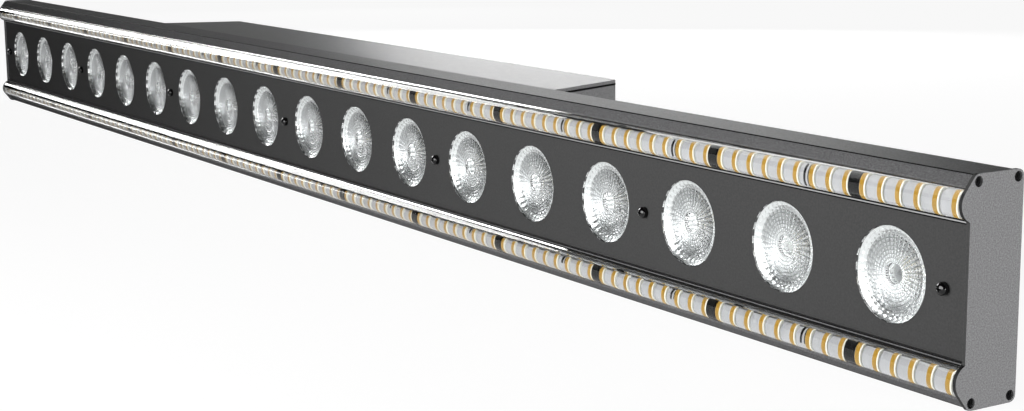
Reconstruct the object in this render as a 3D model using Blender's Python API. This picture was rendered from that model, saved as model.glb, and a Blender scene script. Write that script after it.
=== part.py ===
"""Stage wash bar with two lit edge rods, a rear control box and two folding brackets.

Metres, +Z up. The bar runs along X and shines towards -Y. Every piece is placed in the bar's
own frame, whose origin is the middle of the front panel's face, and hangs under one empty,
which puts the middle of the footprint at the world's origin and the lowest face at Z = 0.
"""

import math

import bmesh
import bpy

# Clearances
SEAT_GAP = 0.0003
SWITCH_GAP = 0.0003

# Bar and end caps
BAR_LENGTH = 1.007
HOUSING_HALF_HEIGHT = 0.0382
HOUSING_BACK = 0.022
CAP_THICKNESS = 0.0014
CAP_MARGIN = 0.0003
CAP_CORNER_RADIUS = 0.0025
CAP_EAR_RADIUS = 0.0025
CAP_HOLE_RADIUS = 0.0018
CAP_SCREW_INSET = 0.0022
PORT_RADIUS = 0.0010

# Housing section, measured from the panel face
TOP_EDGE_SETBACK = 0.0024
MOUTH_FORWARD = 0.0020
MOUTH_NOSE = 0.0006
LIP_FORWARD = 0.0010
LEDGE_DEPTH = 0.0021
CAVITY_FLOOR = 0.0162
CHANNEL_FRONT = 0.0096
CHANNEL_BACK = 0.0180
CHANNEL_LOW = 0.0230
CHANNEL_HIGH = 0.0332
CHANNEL_CORNER = 0.0010
RIB_GROOVE_WIDTH = 0.0023
RIB_GROOVE_DEPTH = 0.0020
RIB_PITCH = 0.0046
RIBS_PER_HALF = 7
RIB_START = 0.0036

# Front panel and its screws
PANEL_HALF_HEIGHT = 0.0223
PANEL_THICKNESS = 0.0015
END_SCREW_INSET = 0.0110
LENSES_PER_SCREW = 3
SCREW_HEAD_RADIUS = 0.0023
SCREW_HEAD_HEIGHT = 0.0026
SCREW_DOME_RADIUS = 0.0015
SCREW_SHOULDER_HEIGHT = 0.0018
SCREW_SHANK_RADIUS = 0.00125
SCREW_BITE = 0.0038

# Lenses and their board
LENS_COUNT = 18
LENS_ROW_INSET = 0.0360
LENS_RADIUS = 0.0165
LENS_FACE_RADIUS = 0.0134
LENS_FACE_DEPTH = 0.0017
LENS_RIM_DEPTH = 0.0035
LENS_FOOT_RADIUS = 0.0070
LENS_LED_RADIUS = 0.0042
LENS_LED_DEPTH = 0.0045
LENS_SIDES = 20
BOARD_THICKNESS = 0.0016
BOARD_HALF_HEIGHT = 0.0195
EMITTER_RADIUS = 0.0026
EMITTER_HEIGHT = 0.0012

# Clear rods, round at the front and flat at the back, and the strips of small lamps behind them
ROD_CURVE_RADIUS = 0.0058
ROD_CENTRE_DEPTH = 0.0012
ROD_CENTRE_HEIGHT = 0.02885
ROD_HALF_HEIGHT = 0.00485
ROD_BACK = 0.0048
BULGE_MARGIN = 0.0003
STRIP_WIDTH = 0.0070
STRIP_THICKNESS = 0.0012
STRIP_POCKET_BACK = 0.0076
CELL_PITCH = 0.00849
CHIP_WIDTH = 0.0028
CHIP_HEIGHT = 0.0057
CHIP_RISE = 0.0007
FIRST_CHIP_INSET = 0.0073

# Rear control box: its ends slope in towards the rear
BOX_FRONT_HALF_LENGTH = 0.2310
BOX_REAR_HALF_LENGTH = 0.2140
BOX_DEPTH = 0.0460
BOX_HEIGHT = 0.0760
SHEET_THICKNESS = 0.0015
SHEET_BEND_RADIUS = 0.0030
CUT_REACH = 0.0060

# Controls on the rear wall; offsets run to the viewer's right, seen from behind
DISPLAY_OFFSET = -0.034
DISPLAY_WIDTH = 0.064
DISPLAY_HEIGHT = 0.022
DISPLAY_LIP = 0.0020
WINDOW_LIP_THICKNESS = 0.0012
WINDOW_STAND = 0.0004
BUTTON_COUNT = 4
BUTTON_OFFSET = 0.022
BUTTON_PITCH = 0.017
BUTTON_RADIUS = 0.0040
BUTTON_BEVEL = 0.0008
BUTTON_FLANGE = 0.0012
BUTTON_STAND = 0.0018
BUTTON_TRAVEL = 0.0008
CONTROL_BOARD_DEPTH = 0.0074
CONTROL_BOARD_MARGIN = 0.0080
SPACER_RADIUS = 0.0016
SPACER_INSET = 0.0024

# Sockets, two near each end of the rear wall
SOCKET_INSET = 0.0380
SOCKET_PITCH = 0.0400
FLANGE_WIDTH = 0.026
FLANGE_HEIGHT = 0.031
FLANGE_THICKNESS = 0.0030
BARREL_RADIUS = 0.0116
BARREL_DEPTH = 0.0190
POWER_BORE = 0.0093
SIGNAL_BORE = 0.0088
BORE_DEPTH = 0.0130
PIN_RADIUS = 0.0012
PIN_CIRCLE = 0.0040
PIN_LENGTH = 0.0070
LATCH_WIDTH = 0.0072
LATCH_HEIGHT = 0.0020
LATCH_POCKET_DEPTH = 0.0024
LATCH_STAND = 0.0016
LATCH_TRAVEL = 0.0009

# Safety eye
EYE_HALF_SPAN = 0.010
EYE_WIRE_RADIUS = 0.0022
EYE_LEG = 0.0060
EYE_HEIGHT = 0.0260
EYE_SHANK_INSIDE = 0.0050

# Parts inside the box
SUPPLY_SIZE = (0.150, 0.028, 0.050)
DRIVER_BOARD_SIZE = (0.100, 0.0016, 0.056)
DRIVER_BOARD_OFFSET = 0.148
DRIVER_CHIP_SIZE = (0.012, 0.022)
DRIVER_CHIP_OFFSETS = (-0.025, 0.0)
DRIVER_CHIP_RISE = 0.0048
DRIVER_COIL_OFFSET = 0.030
DRIVER_COIL_RADIUS = 0.008
DRIVER_COIL_RISE = 0.008

# Hinge lugs, brackets and knobs
BRACKET_INSET = 0.1385
PIVOT_SETBACK = 0.0200
LUG_WIDTH = 0.0400
LUG_PLATE_HEIGHT = 0.0440
LUG_PLATE_THICKNESS = 0.0045
LUG_BOSS_RADIUS = 0.0100
LUG_FILLET = 0.0030
BRACKET_THICKNESS = 0.0030
BRACKET_EAR_RADIUS = 0.0120
BRACKET_BEND_RADIUS = 0.0045
FOLD_CLEARANCE = 0.0020
FOOT_CLEARANCE = 0.0080
FOOT_BELOW_PIVOT = 0.0350
FOOT_ABOVE_PIVOT = 0.0160
CLAMP_HOLE_RADIUS = 0.0053
STUD_RADIUS = 0.0030
STUD_REACH = 0.0140
KNOB_RADIUS = 0.0130
KNOB_LOBES = 6
KNOB_LOBE_DEPTH = 0.0016
KNOB_HEIGHT = 0.0120

# Places that follow from the sizes above
CAP_HALF_HEIGHT = HOUSING_HALF_HEIGHT + CAP_MARGIN
CAP_BACK = HOUSING_BACK + CAP_MARGIN
CAP_INSIDE = BAR_LENGTH / 2 - CAP_THICKNESS
BODY_HALF_LENGTH = CAP_INSIDE - SEAT_GAP
SCREW_ROW_HEIGHT = HOUSING_HALF_HEIGHT - CAP_SCREW_INSET
CAP_SCREW_DEPTHS = (CAP_SCREW_INSET, HOUSING_BACK - CAP_SCREW_INSET)
LENS_PITCH = (BAR_LENGTH - 2 * LENS_ROW_INSET) / (LENS_COUNT - 1)
GROOVE_HALF_HEIGHT = ROD_HALF_HEIGHT + SEAT_GAP
GROOVE_SHELF = ROD_BACK + SEAT_GAP
BULGE_RADIUS = ROD_CURVE_RADIUS + BULGE_MARGIN
LIP_BOTTOM = PANEL_HALF_HEIGHT + SEAT_GAP
LEDGE_FACE = PANEL_THICKNESS + SEAT_GAP
BOARD_FACE = CAVITY_FLOOR - SEAT_GAP - BOARD_THICKNESS
LENS_BACK = BOARD_FACE - SEAT_GAP
STRIP_HALF_POCKET = STRIP_WIDTH / 2 + SEAT_GAP
STRIP_FACE = STRIP_POCKET_BACK - SEAT_GAP - STRIP_THICKNESS
BOX_FRONT = HOUSING_BACK + SEAT_GAP
BOX_REAR = BOX_FRONT + BOX_DEPTH
BOX_BOTTOM = -CAP_HALF_HEIGHT
BOX_TOP = BOX_BOTTOM + BOX_HEIGHT
TRAY_TOP = BOX_TOP - SHEET_THICKNESS - SEAT_GAP
OUTER_SOCKET = BOX_REAR_HALF_LENGTH - SOCKET_INSET
INNER_SOCKET = OUTER_SOCKET - SOCKET_PITCH
SOCKET_OFFSETS = {
    "power_in_socket": -OUTER_SOCKET,
    "power_out_socket": -INNER_SOCKET,
    "dmx_in_socket": INNER_SOCKET,
    "dmx_out_socket": OUTER_SOCKET,
}
PIVOT_BACK = HOUSING_BACK + PIVOT_SETBACK
EAR_INSIDE = LUG_WIDTH / 2 + SEAT_GAP
EAR_OUTSIDE = EAR_INSIDE + BRACKET_THICKNESS
FOOT_REACH = CAP_HALF_HEIGHT + FOOT_CLEARANCE + BRACKET_THICKNESS
BRACKET_OFFSET = BAR_LENGTH / 2 - BRACKET_INSET
FRONT_END = ROD_CENTRE_DEPTH - BULGE_RADIUS
REAR_END = PIVOT_BACK + FOOT_REACH

# Which way a flat profile and its thickness point
RIGHT_ANGLE = math.pi / 2
FACING_FRONT = (RIGHT_ANGLE, 0, 0)
FACING_BACK = (RIGHT_ANGLE, 0, math.pi)
ALONG_BAR = (RIGHT_ANGLE, 0, RIGHT_ANGLE)
UPRIGHT = (0, 0, 0)


def clear_scene():
    for old in list(bpy.data.objects):
        bpy.data.objects.remove(old, do_unlink=True)


def finish(name, colour, roughness, metallic=0.0, see_through=0.0):
    """A Principled material."""
    material = bpy.data.materials.new(name)
    material.use_nodes = True
    shader = material.node_tree.nodes["Principled BSDF"]
    shader.inputs["Base Color"].default_value = (*colour, 1)
    shader.inputs["Roughness"].default_value = roughness
    shader.inputs["Metallic"].default_value = metallic
    shader.inputs["Transmission Weight"].default_value = see_through
    material.diffuse_color = (*colour, 1)
    return material


def place(name, mesh, material, location=(0, 0, 0), rotation=UPRIGHT):
    """Puts a mesh in the bar's frame under the given name, shaded smooth between sharp edges."""
    piece = bpy.data.objects.new(name, mesh)
    bpy.context.collection.objects.link(piece)
    piece.parent = fixture
    piece.location = location
    piece.rotation_euler = rotation
    if not mesh.materials:
        mesh.materials.append(material)
    mesh.shade_smooth()
    mesh.set_sharp_from_angle(angle=math.radians(40))
    return piece


def cutter(name, mesh, location=(0, 0, 0), rotation=UPRIGHT):
    """A helper solid that is left out of the part."""
    tool = bpy.data.objects.new(name, mesh)
    bpy.context.collection.objects.link(tool)
    tool.parent = fixture
    tool.location = location
    tool.rotation_euler = rotation
    tool.hide_render = True
    tool.display_type = "WIRE"
    return tool


def cut(piece, tool, operation="DIFFERENCE"):
    modifier = piece.modifiers.new(tool.name, "BOOLEAN")
    modifier.operation = operation
    modifier.object = tool
    modifier.solver = "EXACT"


def arc(centre, radius, start, end, steps):
    """Points along an arc, in degrees, both ends included."""
    angles = [math.radians(start + (end - start) * i / steps) for i in range(steps + 1)]
    return [(centre[0] + radius * math.cos(a), centre[1] + radius * math.sin(a)) for a in angles]


def circle(centre, radius, sides):
    return arc(centre, radius, 0, 360, sides)[:-1]


def rectangle(centre, width, height, corner=0.0, steps=3):
    """A rectangle, with round corners when a corner radius is given."""
    x = width / 2 - corner
    y = height / 2 - corner
    corners = ((x, y, 0), (-x, y, 90), (-x, -y, 180), (x, -y, 270))
    if not corner:
        return [(centre[0] + a, centre[1] + b) for a, b, _ in corners]
    points = []
    for a, b, turn in corners:
        points += arc((centre[0] + a, centre[1] + b), corner, turn, turn + 90, steps)
    return points


def mirrored(half):
    """A whole outline from its upper half, given from the back face round to the front."""
    return half + [(a, -b) for a, b in reversed(half)]


def angle_of(point, centre):
    return math.degrees(math.atan2(point[1] - centre[1], point[0] - centre[0])) % 360


def wall(bm, low, high):
    for i, start in enumerate(low):
        j = (i + 1) % len(low)
        bm.faces.new((start, low[j], high[j], high[i]))


def ring(bm, loop, height):
    return [bm.verts.new((x, y, height)) for x, y in loop]


def fill(bm, *rings):
    """Fills the flat area between an outer ring and the rings inside it."""
    edges = []
    for verts in rings:
        for i, start in enumerate(verts):
            pair = (start, verts[(i + 1) % len(verts)])
            edges.append(bm.edges.get(pair) or bm.edges.new(pair))
    bmesh.ops.triangle_fill(bm, use_beauty=True, use_dissolve=False, edges=edges)


def slab(name, outline, low, high, holes=(), steps=()):
    """A closed solid: a flat outline with holes right through it, and steps raised or sunk
    on its upper face. Each step is (loop, the height of its own face)."""
    bm = bmesh.new()
    bottom = [ring(bm, loop, low) for loop in (outline, *holes)]
    top = [ring(bm, loop, high) for loop in (outline, *holes)]
    for lower, upper in zip(bottom, top):
        wall(bm, lower, upper)
    for loop, level in steps:
        root = ring(bm, loop, high)
        end = ring(bm, loop, level)
        top.append(root)
        wall(bm, root, end)
        fill(bm, end)
    fill(bm, *bottom)
    fill(bm, *top)
    bmesh.ops.recalc_face_normals(bm, faces=bm.faces)
    mesh = bpy.data.meshes.new(name)
    bm.to_mesh(mesh)
    bm.free()
    return mesh


def turned(name, profile, sides):
    """A solid of revolution about Z from (radius, height) points, which start and end on the axis."""
    bm = bmesh.new()
    verts = [bm.verts.new((r, 0, z)) for r, z in profile]
    edges = [bm.edges.new(pair) for pair in zip(verts, verts[1:])]
    bmesh.ops.spin(
        bm, geom=verts + edges, axis=(0, 0, 1), cent=(0, 0, 0), angle=2 * math.pi, steps=sides
    )
    bmesh.ops.remove_doubles(bm, verts=bm.verts, dist=1e-6)
    bmesh.ops.recalc_face_normals(bm, faces=bm.faces)
    mesh = bpy.data.meshes.new(name)
    bm.to_mesh(mesh)
    bm.free()
    return mesh


def rod_mesh(name, radius, length, sides=20):
    half = length / 2
    return turned(name, [(0, half), (radius, half), (radius, -half), (0, -half)], sides)


def panel_screw_places():
    """One screw beyond each end of the lens row and one after every third lens."""
    end = BAR_LENGTH / 2 - END_SCREW_INSET
    inner = LENS_COUNT // LENSES_PER_SCREW - 1
    spacing = LENSES_PER_SCREW * LENS_PITCH
    return [-end, *[(k - (inner - 1) / 2) * spacing for k in range(inner)], end]


def lens_places():
    return [(i - (LENS_COUNT - 1) / 2) * LENS_PITCH for i in range(LENS_COUNT)]


def housing_outline():
    """The extrusion's section as (depth, height), open at the front for lenses and rods."""
    half = []
    for k in range(RIBS_PER_HALF):
        low = RIB_START + k * RIB_PITCH
        high = low + RIB_GROOVE_WIDTH
        depth = HOUSING_BACK - RIB_GROOVE_DEPTH
        half += [(HOUSING_BACK, low), (depth, low), (depth, high), (HOUSING_BACK, high)]
    corner = CAP_CORNER_RADIUS
    centre = (HOUSING_BACK - corner, HOUSING_HALF_HEIGHT - corner)
    half += arc(centre, corner, 0, 90, 4)
    half.append((TOP_EDGE_SETBACK, HOUSING_HALF_HEIGHT))
    groove_top = ROD_CENTRE_HEIGHT + GROOVE_HALF_HEIGHT
    groove_low = ROD_CENTRE_HEIGHT - GROOVE_HALF_HEIGHT
    pocket_top = ROD_CENTRE_HEIGHT + STRIP_HALF_POCKET
    pocket_low = ROD_CENTRE_HEIGHT - STRIP_HALF_POCKET
    half += [(-MOUTH_FORWARD, groove_top + MOUTH_NOSE), (MOUTH_NOSE - MOUTH_FORWARD, groove_top)]
    half += [(GROOVE_SHELF, groove_top), (GROOVE_SHELF, pocket_top), (STRIP_POCKET_BACK, pocket_top)]
    half += [(STRIP_POCKET_BACK, pocket_low), (GROOVE_SHELF, pocket_low), (GROOVE_SHELF, groove_low)]
    half += [(-LIP_FORWARD, groove_low), (-LIP_FORWARD, LIP_BOTTOM), (LEDGE_FACE, LIP_BOTTOM)]
    half += [(LEDGE_FACE, LIP_BOTTOM - LEDGE_DEPTH), (CAVITY_FLOOR, LIP_BOTTOM - LEDGE_DEPTH)]
    return mirrored(half)


def cap_outline():
    """The cap covers the housing's section and the ends of the rods, with an ear at each screw."""
    rod = (ROD_CENTRE_DEPTH, ROD_CENTRE_HEIGHT)
    corner = CAP_CORNER_RADIUS
    ear = (CAP_SCREW_INSET, CAP_HALF_HEIGHT - CAP_EAR_RADIUS)
    spread = math.degrees(math.acos((BULGE_RADIUS - CAP_EAR_RADIUS) / math.dist(ear, rod)))
    tangent = angle_of(ear, rod) + spread
    drop = math.degrees(math.acos((ROD_CENTRE_DEPTH + LIP_FORWARD) / BULGE_RADIUS))
    half = arc((CAP_BACK - corner, CAP_HALF_HEIGHT - corner), corner, 0, 90, 4)
    half += arc(ear, CAP_EAR_RADIUS, 90, tangent, 3)
    half += arc(rod, BULGE_RADIUS, tangent, 180 + drop, 10)
    return mirrored(half)


def make_housing():
    channel_depth = (CHANNEL_FRONT + CHANNEL_BACK) / 2
    channel_height = (CHANNEL_LOW + CHANNEL_HIGH) / 2
    width = CHANNEL_BACK - CHANNEL_FRONT
    height = CHANNEL_HIGH - CHANNEL_LOW
    holes = []
    for side in (1, -1):
        centre = (channel_depth, side * channel_height)
        holes.append(rectangle(centre, width, height, CHANNEL_CORNER, 2))
        holes += [circle((y, side * SCREW_ROW_HEIGHT), PORT_RADIUS, 6) for y in CAP_SCREW_DEPTHS]
    mesh = slab(
        "housing_extrusion", housing_outline(), -BODY_HALF_LENGTH, BODY_HALF_LENGTH, holes
    )
    housing = place("housing_extrusion", mesh, powder_coat, rotation=ALONG_BAR)
    hole = rod_mesh("screw_hole", SCREW_SHANK_RADIUS + SEAT_GAP, 2 * SCREW_BITE, 10)
    for number, x in enumerate(panel_screw_places(), 1):
        cut(housing, cutter(f"panel_screw_hole_{number}", hole, (x, CAVITY_FLOOR, 0), FACING_FRONT))


def make_end_caps():
    holes = []
    for side in (1, -1):
        holes += [circle((y, side * SCREW_ROW_HEIGHT), CAP_HOLE_RADIUS, 12) for y in CAP_SCREW_DEPTHS]
    mesh = slab("end_cap", cap_outline(), 0, CAP_THICKNESS, holes)
    place("end_cap_right", mesh, powder_coat, (CAP_INSIDE, 0, 0), ALONG_BAR)
    place("end_cap_left", mesh, powder_coat, (-BAR_LENGTH / 2, 0, 0), ALONG_BAR)


def make_front_panel():
    shank = SCREW_SHANK_RADIUS + SEAT_GAP
    holes = [circle((x, 0), LENS_RADIUS + SEAT_GAP, LENS_SIDES) for x in lens_places()]
    holes += [circle((x, 0), shank, 10) for x in panel_screw_places()]
    outline = rectangle((0, 0), 2 * BODY_HALF_LENGTH, 2 * PANEL_HALF_HEIGHT)
    mesh = slab("front_panel", outline, -PANEL_THICKNESS, 0, holes)
    place("front_panel", mesh, panel_coat, rotation=FACING_FRONT)
    tip = SEAT_GAP - CAVITY_FLOOR - SCREW_BITE
    profile = [
        (0, SEAT_GAP + SCREW_HEAD_HEIGHT),
        (SCREW_DOME_RADIUS, SEAT_GAP + SCREW_HEAD_HEIGHT),
        (SCREW_HEAD_RADIUS, SEAT_GAP + SCREW_SHOULDER_HEIGHT),
        (SCREW_HEAD_RADIUS, SEAT_GAP),
        (SCREW_SHANK_RADIUS, SEAT_GAP),
        (SCREW_SHANK_RADIUS, tip),
        (0, tip),
    ]
    screw = turned("panel_screw", profile, 8)
    for number, x in enumerate(panel_screw_places(), 1):
        place(f"panel_screw_{number}", screw, black_steel, (x, 0, 0), FACING_FRONT)


def make_lenses():
    """Clear collimating lenses: a dished front in the panel's hole, then a cone to the lamp."""
    profile = [
        (0, -LENS_FACE_DEPTH),
        (LENS_FACE_RADIUS, -LENS_FACE_DEPTH),
        (LENS_RADIUS, 0),
        (LENS_RADIUS, -LENS_RIM_DEPTH),
        (LENS_FOOT_RADIUS, -LENS_BACK),
        (LENS_LED_RADIUS, -LENS_BACK),
        (LENS_LED_RADIUS, -LENS_BACK + LENS_LED_DEPTH),
        (0, -LENS_BACK + LENS_LED_DEPTH),
    ]
    lens = turned("lens", profile, LENS_SIDES)
    for number, x in enumerate(lens_places(), 1):
        place(f"lens_{number:02d}", lens, clear_acrylic, (x, 0, 0), FACING_FRONT)


def make_led_board():
    outline = rectangle((0, 0), 2 * BODY_HALF_LENGTH, 2 * BOARD_HALF_HEIGHT)
    holes = [circle((x, 0), SCREW_SHANK_RADIUS + SEAT_GAP, 8) for x in panel_screw_places()]
    emitters = [
        (circle((x, 0), EMITTER_RADIUS, 6), -BOARD_FACE + EMITTER_HEIGHT) for x in lens_places()
    ]
    mesh = slab("led_board", outline, -BOARD_FACE - BOARD_THICKNESS, -BOARD_FACE, holes, emitters)
    place("led_board", mesh, white_board, rotation=FACING_FRONT)


def chip_places():
    """Lamp centres from the right end to the left, at an even pitch."""
    first = BODY_HALF_LENGTH - FIRST_CHIP_INSET
    count = int((2 * BODY_HALF_LENGTH - FIRST_CHIP_INSET) / CELL_PITCH)
    return [first - k * CELL_PITCH for k in range(count)]


def make_rods_and_strips():
    length = 2 * BODY_HALF_LENGTH
    turn = math.degrees(math.asin(ROD_HALF_HEIGHT / ROD_CURVE_RADIUS))
    section = arc((ROD_CENTRE_DEPTH, 0), ROD_CURVE_RADIUS, 180 - turn, 180 + turn, 12)
    section += [(ROD_BACK, -ROD_HALF_HEIGHT), (ROD_BACK, ROD_HALF_HEIGHT)]
    rod = slab("light_rod", section, -BODY_HALF_LENGTH, BODY_HALF_LENGTH)
    outline = rectangle((0, 0), length, STRIP_WIDTH)
    top = -STRIP_FACE + CHIP_RISE
    chips = [(rectangle((x, 0), CHIP_WIDTH, CHIP_HEIGHT), top) for x in chip_places()]
    strip = slab("led_strip", outline, -STRIP_FACE - STRIP_THICKNESS, -STRIP_FACE, (), chips)
    for name, side in (("upper", 1), ("lower", -1)):
        z = side * ROD_CENTRE_HEIGHT
        place(f"light_rod_{name}", rod, clear_acrylic, (0, 0, z), ALONG_BAR)
        place(f"led_strip_{name}", strip, white_board, (0, 0, z), FACING_FRONT)


def box_outline(inset):
    """The control box in plan, with its ends sloped, moved in by the sheet's thickness."""
    run = BOX_DEPTH
    slope = (BOX_FRONT_HALF_LENGTH - BOX_REAR_HALF_LENGTH) / run
    side_inset = inset * math.sqrt(1 + slope**2)
    front = BOX_FRONT_HALF_LENGTH - side_inset - slope * inset
    rear = BOX_REAR_HALF_LENGTH - side_inset + slope * inset
    low = BOX_FRONT + inset
    high = BOX_REAR - inset
    bend = SHEET_BEND_RADIUS - inset
    lean = math.degrees(math.atan(slope))
    back = bend * math.tan(math.radians(45 + lean / 2 - lean))
    centre = (rear - back, high - bend)
    right = [(front, low)] + arc(centre, bend, lean, 90, 4)
    return right + [(-x, y) for x, y in reversed(right)]


def make_control_box():
    floor = BOX_BOTTOM + SHEET_THICKNESS
    pocket = [(box_outline(SHEET_THICKNESS), floor)]
    mesh = slab("control_box_tray", box_outline(0), BOX_BOTTOM, TRAY_TOP, (), pocket)
    tray = place("control_box_tray", mesh, powder_coat)
    lid = slab("control_box_cover", box_outline(0), TRAY_TOP + SEAT_GAP, BOX_TOP)
    place("control_box_cover", lid, powder_coat)

    window = rectangle((0, 0), DISPLAY_WIDTH + 2 * SEAT_GAP, DISPLAY_HEIGHT + 2 * SEAT_GAP)
    opening = slab("display_opening", window, -CUT_REACH, CUT_REACH)
    cut(tray, cutter("display_opening", opening, (-DISPLAY_OFFSET, BOX_REAR, 0), FACING_BACK))
    bore = rod_mesh("button_hole", BUTTON_RADIUS + SEAT_GAP, 2 * CUT_REACH, 16)
    for number, offset in enumerate(button_places(), 1):
        cut(tray, cutter(f"button_hole_{number}", bore, (-offset, BOX_REAR, 0), FACING_BACK))
    hole = rod_mesh("socket_hole", BARREL_RADIUS + SEAT_GAP, 2 * CUT_REACH, 16)
    for name, offset in SOCKET_OFFSETS.items():
        cut(tray, cutter(f"{name}_hole", hole, (-offset, BOX_REAR, 0), FACING_BACK))
    leg = rod_mesh("eye_hole", EYE_WIRE_RADIUS + SEAT_GAP, 2 * CUT_REACH, 12)
    for name, side in (("left", -1), ("right", 1)):
        spot = (side * EYE_HALF_SPAN, BOX_REAR, EYE_HEIGHT)
        cut(tray, cutter(f"eye_hole_{name}", leg, spot, FACING_BACK))


def button_places():
    return [BUTTON_OFFSET + k * BUTTON_PITCH for k in range(BUTTON_COUNT)]


def make_controls():
    """Window and buttons behind the rear wall, and the board that carries their switches."""
    wall_inside = -SHEET_THICKNESS
    seat = wall_inside - SEAT_GAP
    lip = rectangle((0, 0), DISPLAY_WIDTH + 2 * DISPLAY_LIP, DISPLAY_HEIGHT + 2 * DISPLAY_LIP)
    pane = rectangle((0, 0), DISPLAY_WIDTH, DISPLAY_HEIGHT)
    back = seat - WINDOW_LIP_THICKNESS
    mesh = slab("display_window", lip, back, seat, (), [(pane, WINDOW_STAND)])
    place("display_window", mesh, smoked_acrylic, (-DISPLAY_OFFSET, BOX_REAR, 0), FACING_BACK)

    flange = BUTTON_RADIUS + BUTTON_FLANGE
    button_back = seat - BUTTON_FLANGE
    profile = [
        (0, BUTTON_STAND),
        (BUTTON_RADIUS - BUTTON_BEVEL, BUTTON_STAND),
        (BUTTON_RADIUS, BUTTON_STAND - BUTTON_BEVEL),
        (BUTTON_RADIUS, seat),
        (flange, seat),
        (flange, button_back),
        (0, button_back),
    ]
    button = turned("menu_button", profile, 16)
    for number, offset in enumerate(button_places(), 1):
        place(f"menu_button_{number}", button, black_rubber, (-offset, BOX_REAR, 0), FACING_BACK)

    left = DISPLAY_OFFSET - DISPLAY_WIDTH / 2 - CONTROL_BOARD_MARGIN
    right = button_places()[-1] + BUTTON_RADIUS + CONTROL_BOARD_MARGIN
    middle = (left + right) / 2
    face = -CONTROL_BOARD_DEPTH
    height = DISPLAY_HEIGHT + 2 * CONTROL_BOARD_MARGIN
    outline = rectangle((middle, 0), right - left, height)
    glass = rectangle((DISPLAY_OFFSET, 0), DISPLAY_WIDTH - DISPLAY_LIP, DISPLAY_HEIGHT - DISPLAY_LIP)
    steps = [(glass, back - SWITCH_GAP)]
    switch_top = button_back - BUTTON_TRAVEL - SWITCH_GAP
    steps += [(rectangle((x, 0), BUTTON_RADIUS, BUTTON_RADIUS), switch_top) for x in button_places()]
    post = height / 2 - SPACER_INSET
    for x in (left + SPACER_INSET, right - SPACER_INSET):
        steps += [(circle((x, z), SPACER_RADIUS, 8), seat) for z in (post, -post)]
    mesh = slab("control_board", outline, face - BOARD_THICKNESS, face, (), steps)
    place("control_board", mesh, green_board, (0, BOX_REAR, 0), FACING_BACK)


def socket_mesh(name, bore, pins, latch):
    """A chassis socket: a square flange outside the wall and a round shell through it."""
    flange = rectangle((0, 0), FLANGE_WIDTH, FLANGE_HEIGHT, SHEET_BEND_RADIUS, 3)
    front = SEAT_GAP + FLANGE_THICKNESS
    floor = front - BORE_DEPTH
    sunk = [(circle((0, 0), bore, 16), floor)]
    if latch:
        pocket = rectangle(latch_centre(), LATCH_WIDTH + 2 * SEAT_GAP, LATCH_HEIGHT + 2 * SEAT_GAP)
        sunk.append((pocket, front - LATCH_POCKET_DEPTH))
    bm = bmesh.new()
    outer_low = ring(bm, flange, SEAT_GAP)
    outer_high = ring(bm, flange, front)
    wall(bm, outer_low, outer_high)
    shell = circle((0, 0), BARREL_RADIUS, 16)
    shell_root = ring(bm, shell, SEAT_GAP)
    shell_end = ring(bm, shell, -BARREL_DEPTH)
    wall(bm, shell_root, shell_end)
    fill(bm, outer_low, shell_root)
    fill(bm, shell_end)
    tops = [outer_high]
    for number, (loop, level) in enumerate(sunk):
        root = ring(bm, loop, front)
        end = ring(bm, loop, level)
        wall(bm, root, end)
        tops.append(root)
        inner = [end]
        if number == 0:
            for turn in pins:
                spot = arc((0, 0), PIN_CIRCLE, turn, turn, 1)[0]
                foot = ring(bm, circle(spot, PIN_RADIUS, 6), level)
                tip = ring(bm, circle(spot, PIN_RADIUS, 6), level + PIN_LENGTH)
                wall(bm, foot, tip)
                fill(bm, tip)
                inner.append(foot)
        fill(bm, *inner)
    fill(bm, *tops)
    bmesh.ops.recalc_face_normals(bm, faces=bm.faces)
    mesh = bpy.data.meshes.new(name)
    bm.to_mesh(mesh)
    bm.free()
    return mesh


def latch_centre():
    return (0, (BARREL_RADIUS + FLANGE_HEIGHT / 2) / 2)


def make_sockets():
    """Power at one end and signal at the other; the signal outlet has a push latch."""
    kinds = {
        "power_in_socket": (POWER_BORE, (), False, blue_plastic),
        "power_out_socket": (POWER_BORE, (), False, grey_plastic),
        "dmx_in_socket": (SIGNAL_BORE, (90, 210, 330), False, zinc),
        "dmx_out_socket": (SIGNAL_BORE, (), True, zinc),
    }
    for name, (bore, pins, latch, material) in kinds.items():
        mesh = socket_mesh(name, bore, pins, latch)
        place(name, mesh, material, (-SOCKET_OFFSETS[name], BOX_REAR, 0), FACING_BACK)
    front = SEAT_GAP + FLANGE_THICKNESS
    low = front - LATCH_POCKET_DEPTH + LATCH_TRAVEL + SWITCH_GAP
    outline = rectangle(latch_centre(), LATCH_WIDTH, LATCH_HEIGHT)
    mesh = slab("dmx_out_latch", outline, low, front + LATCH_STAND)
    spot = (-SOCKET_OFFSETS["dmx_out_socket"], BOX_REAR, 0)
    place("dmx_out_latch", mesh, black_steel, spot, FACING_BACK)


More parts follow.
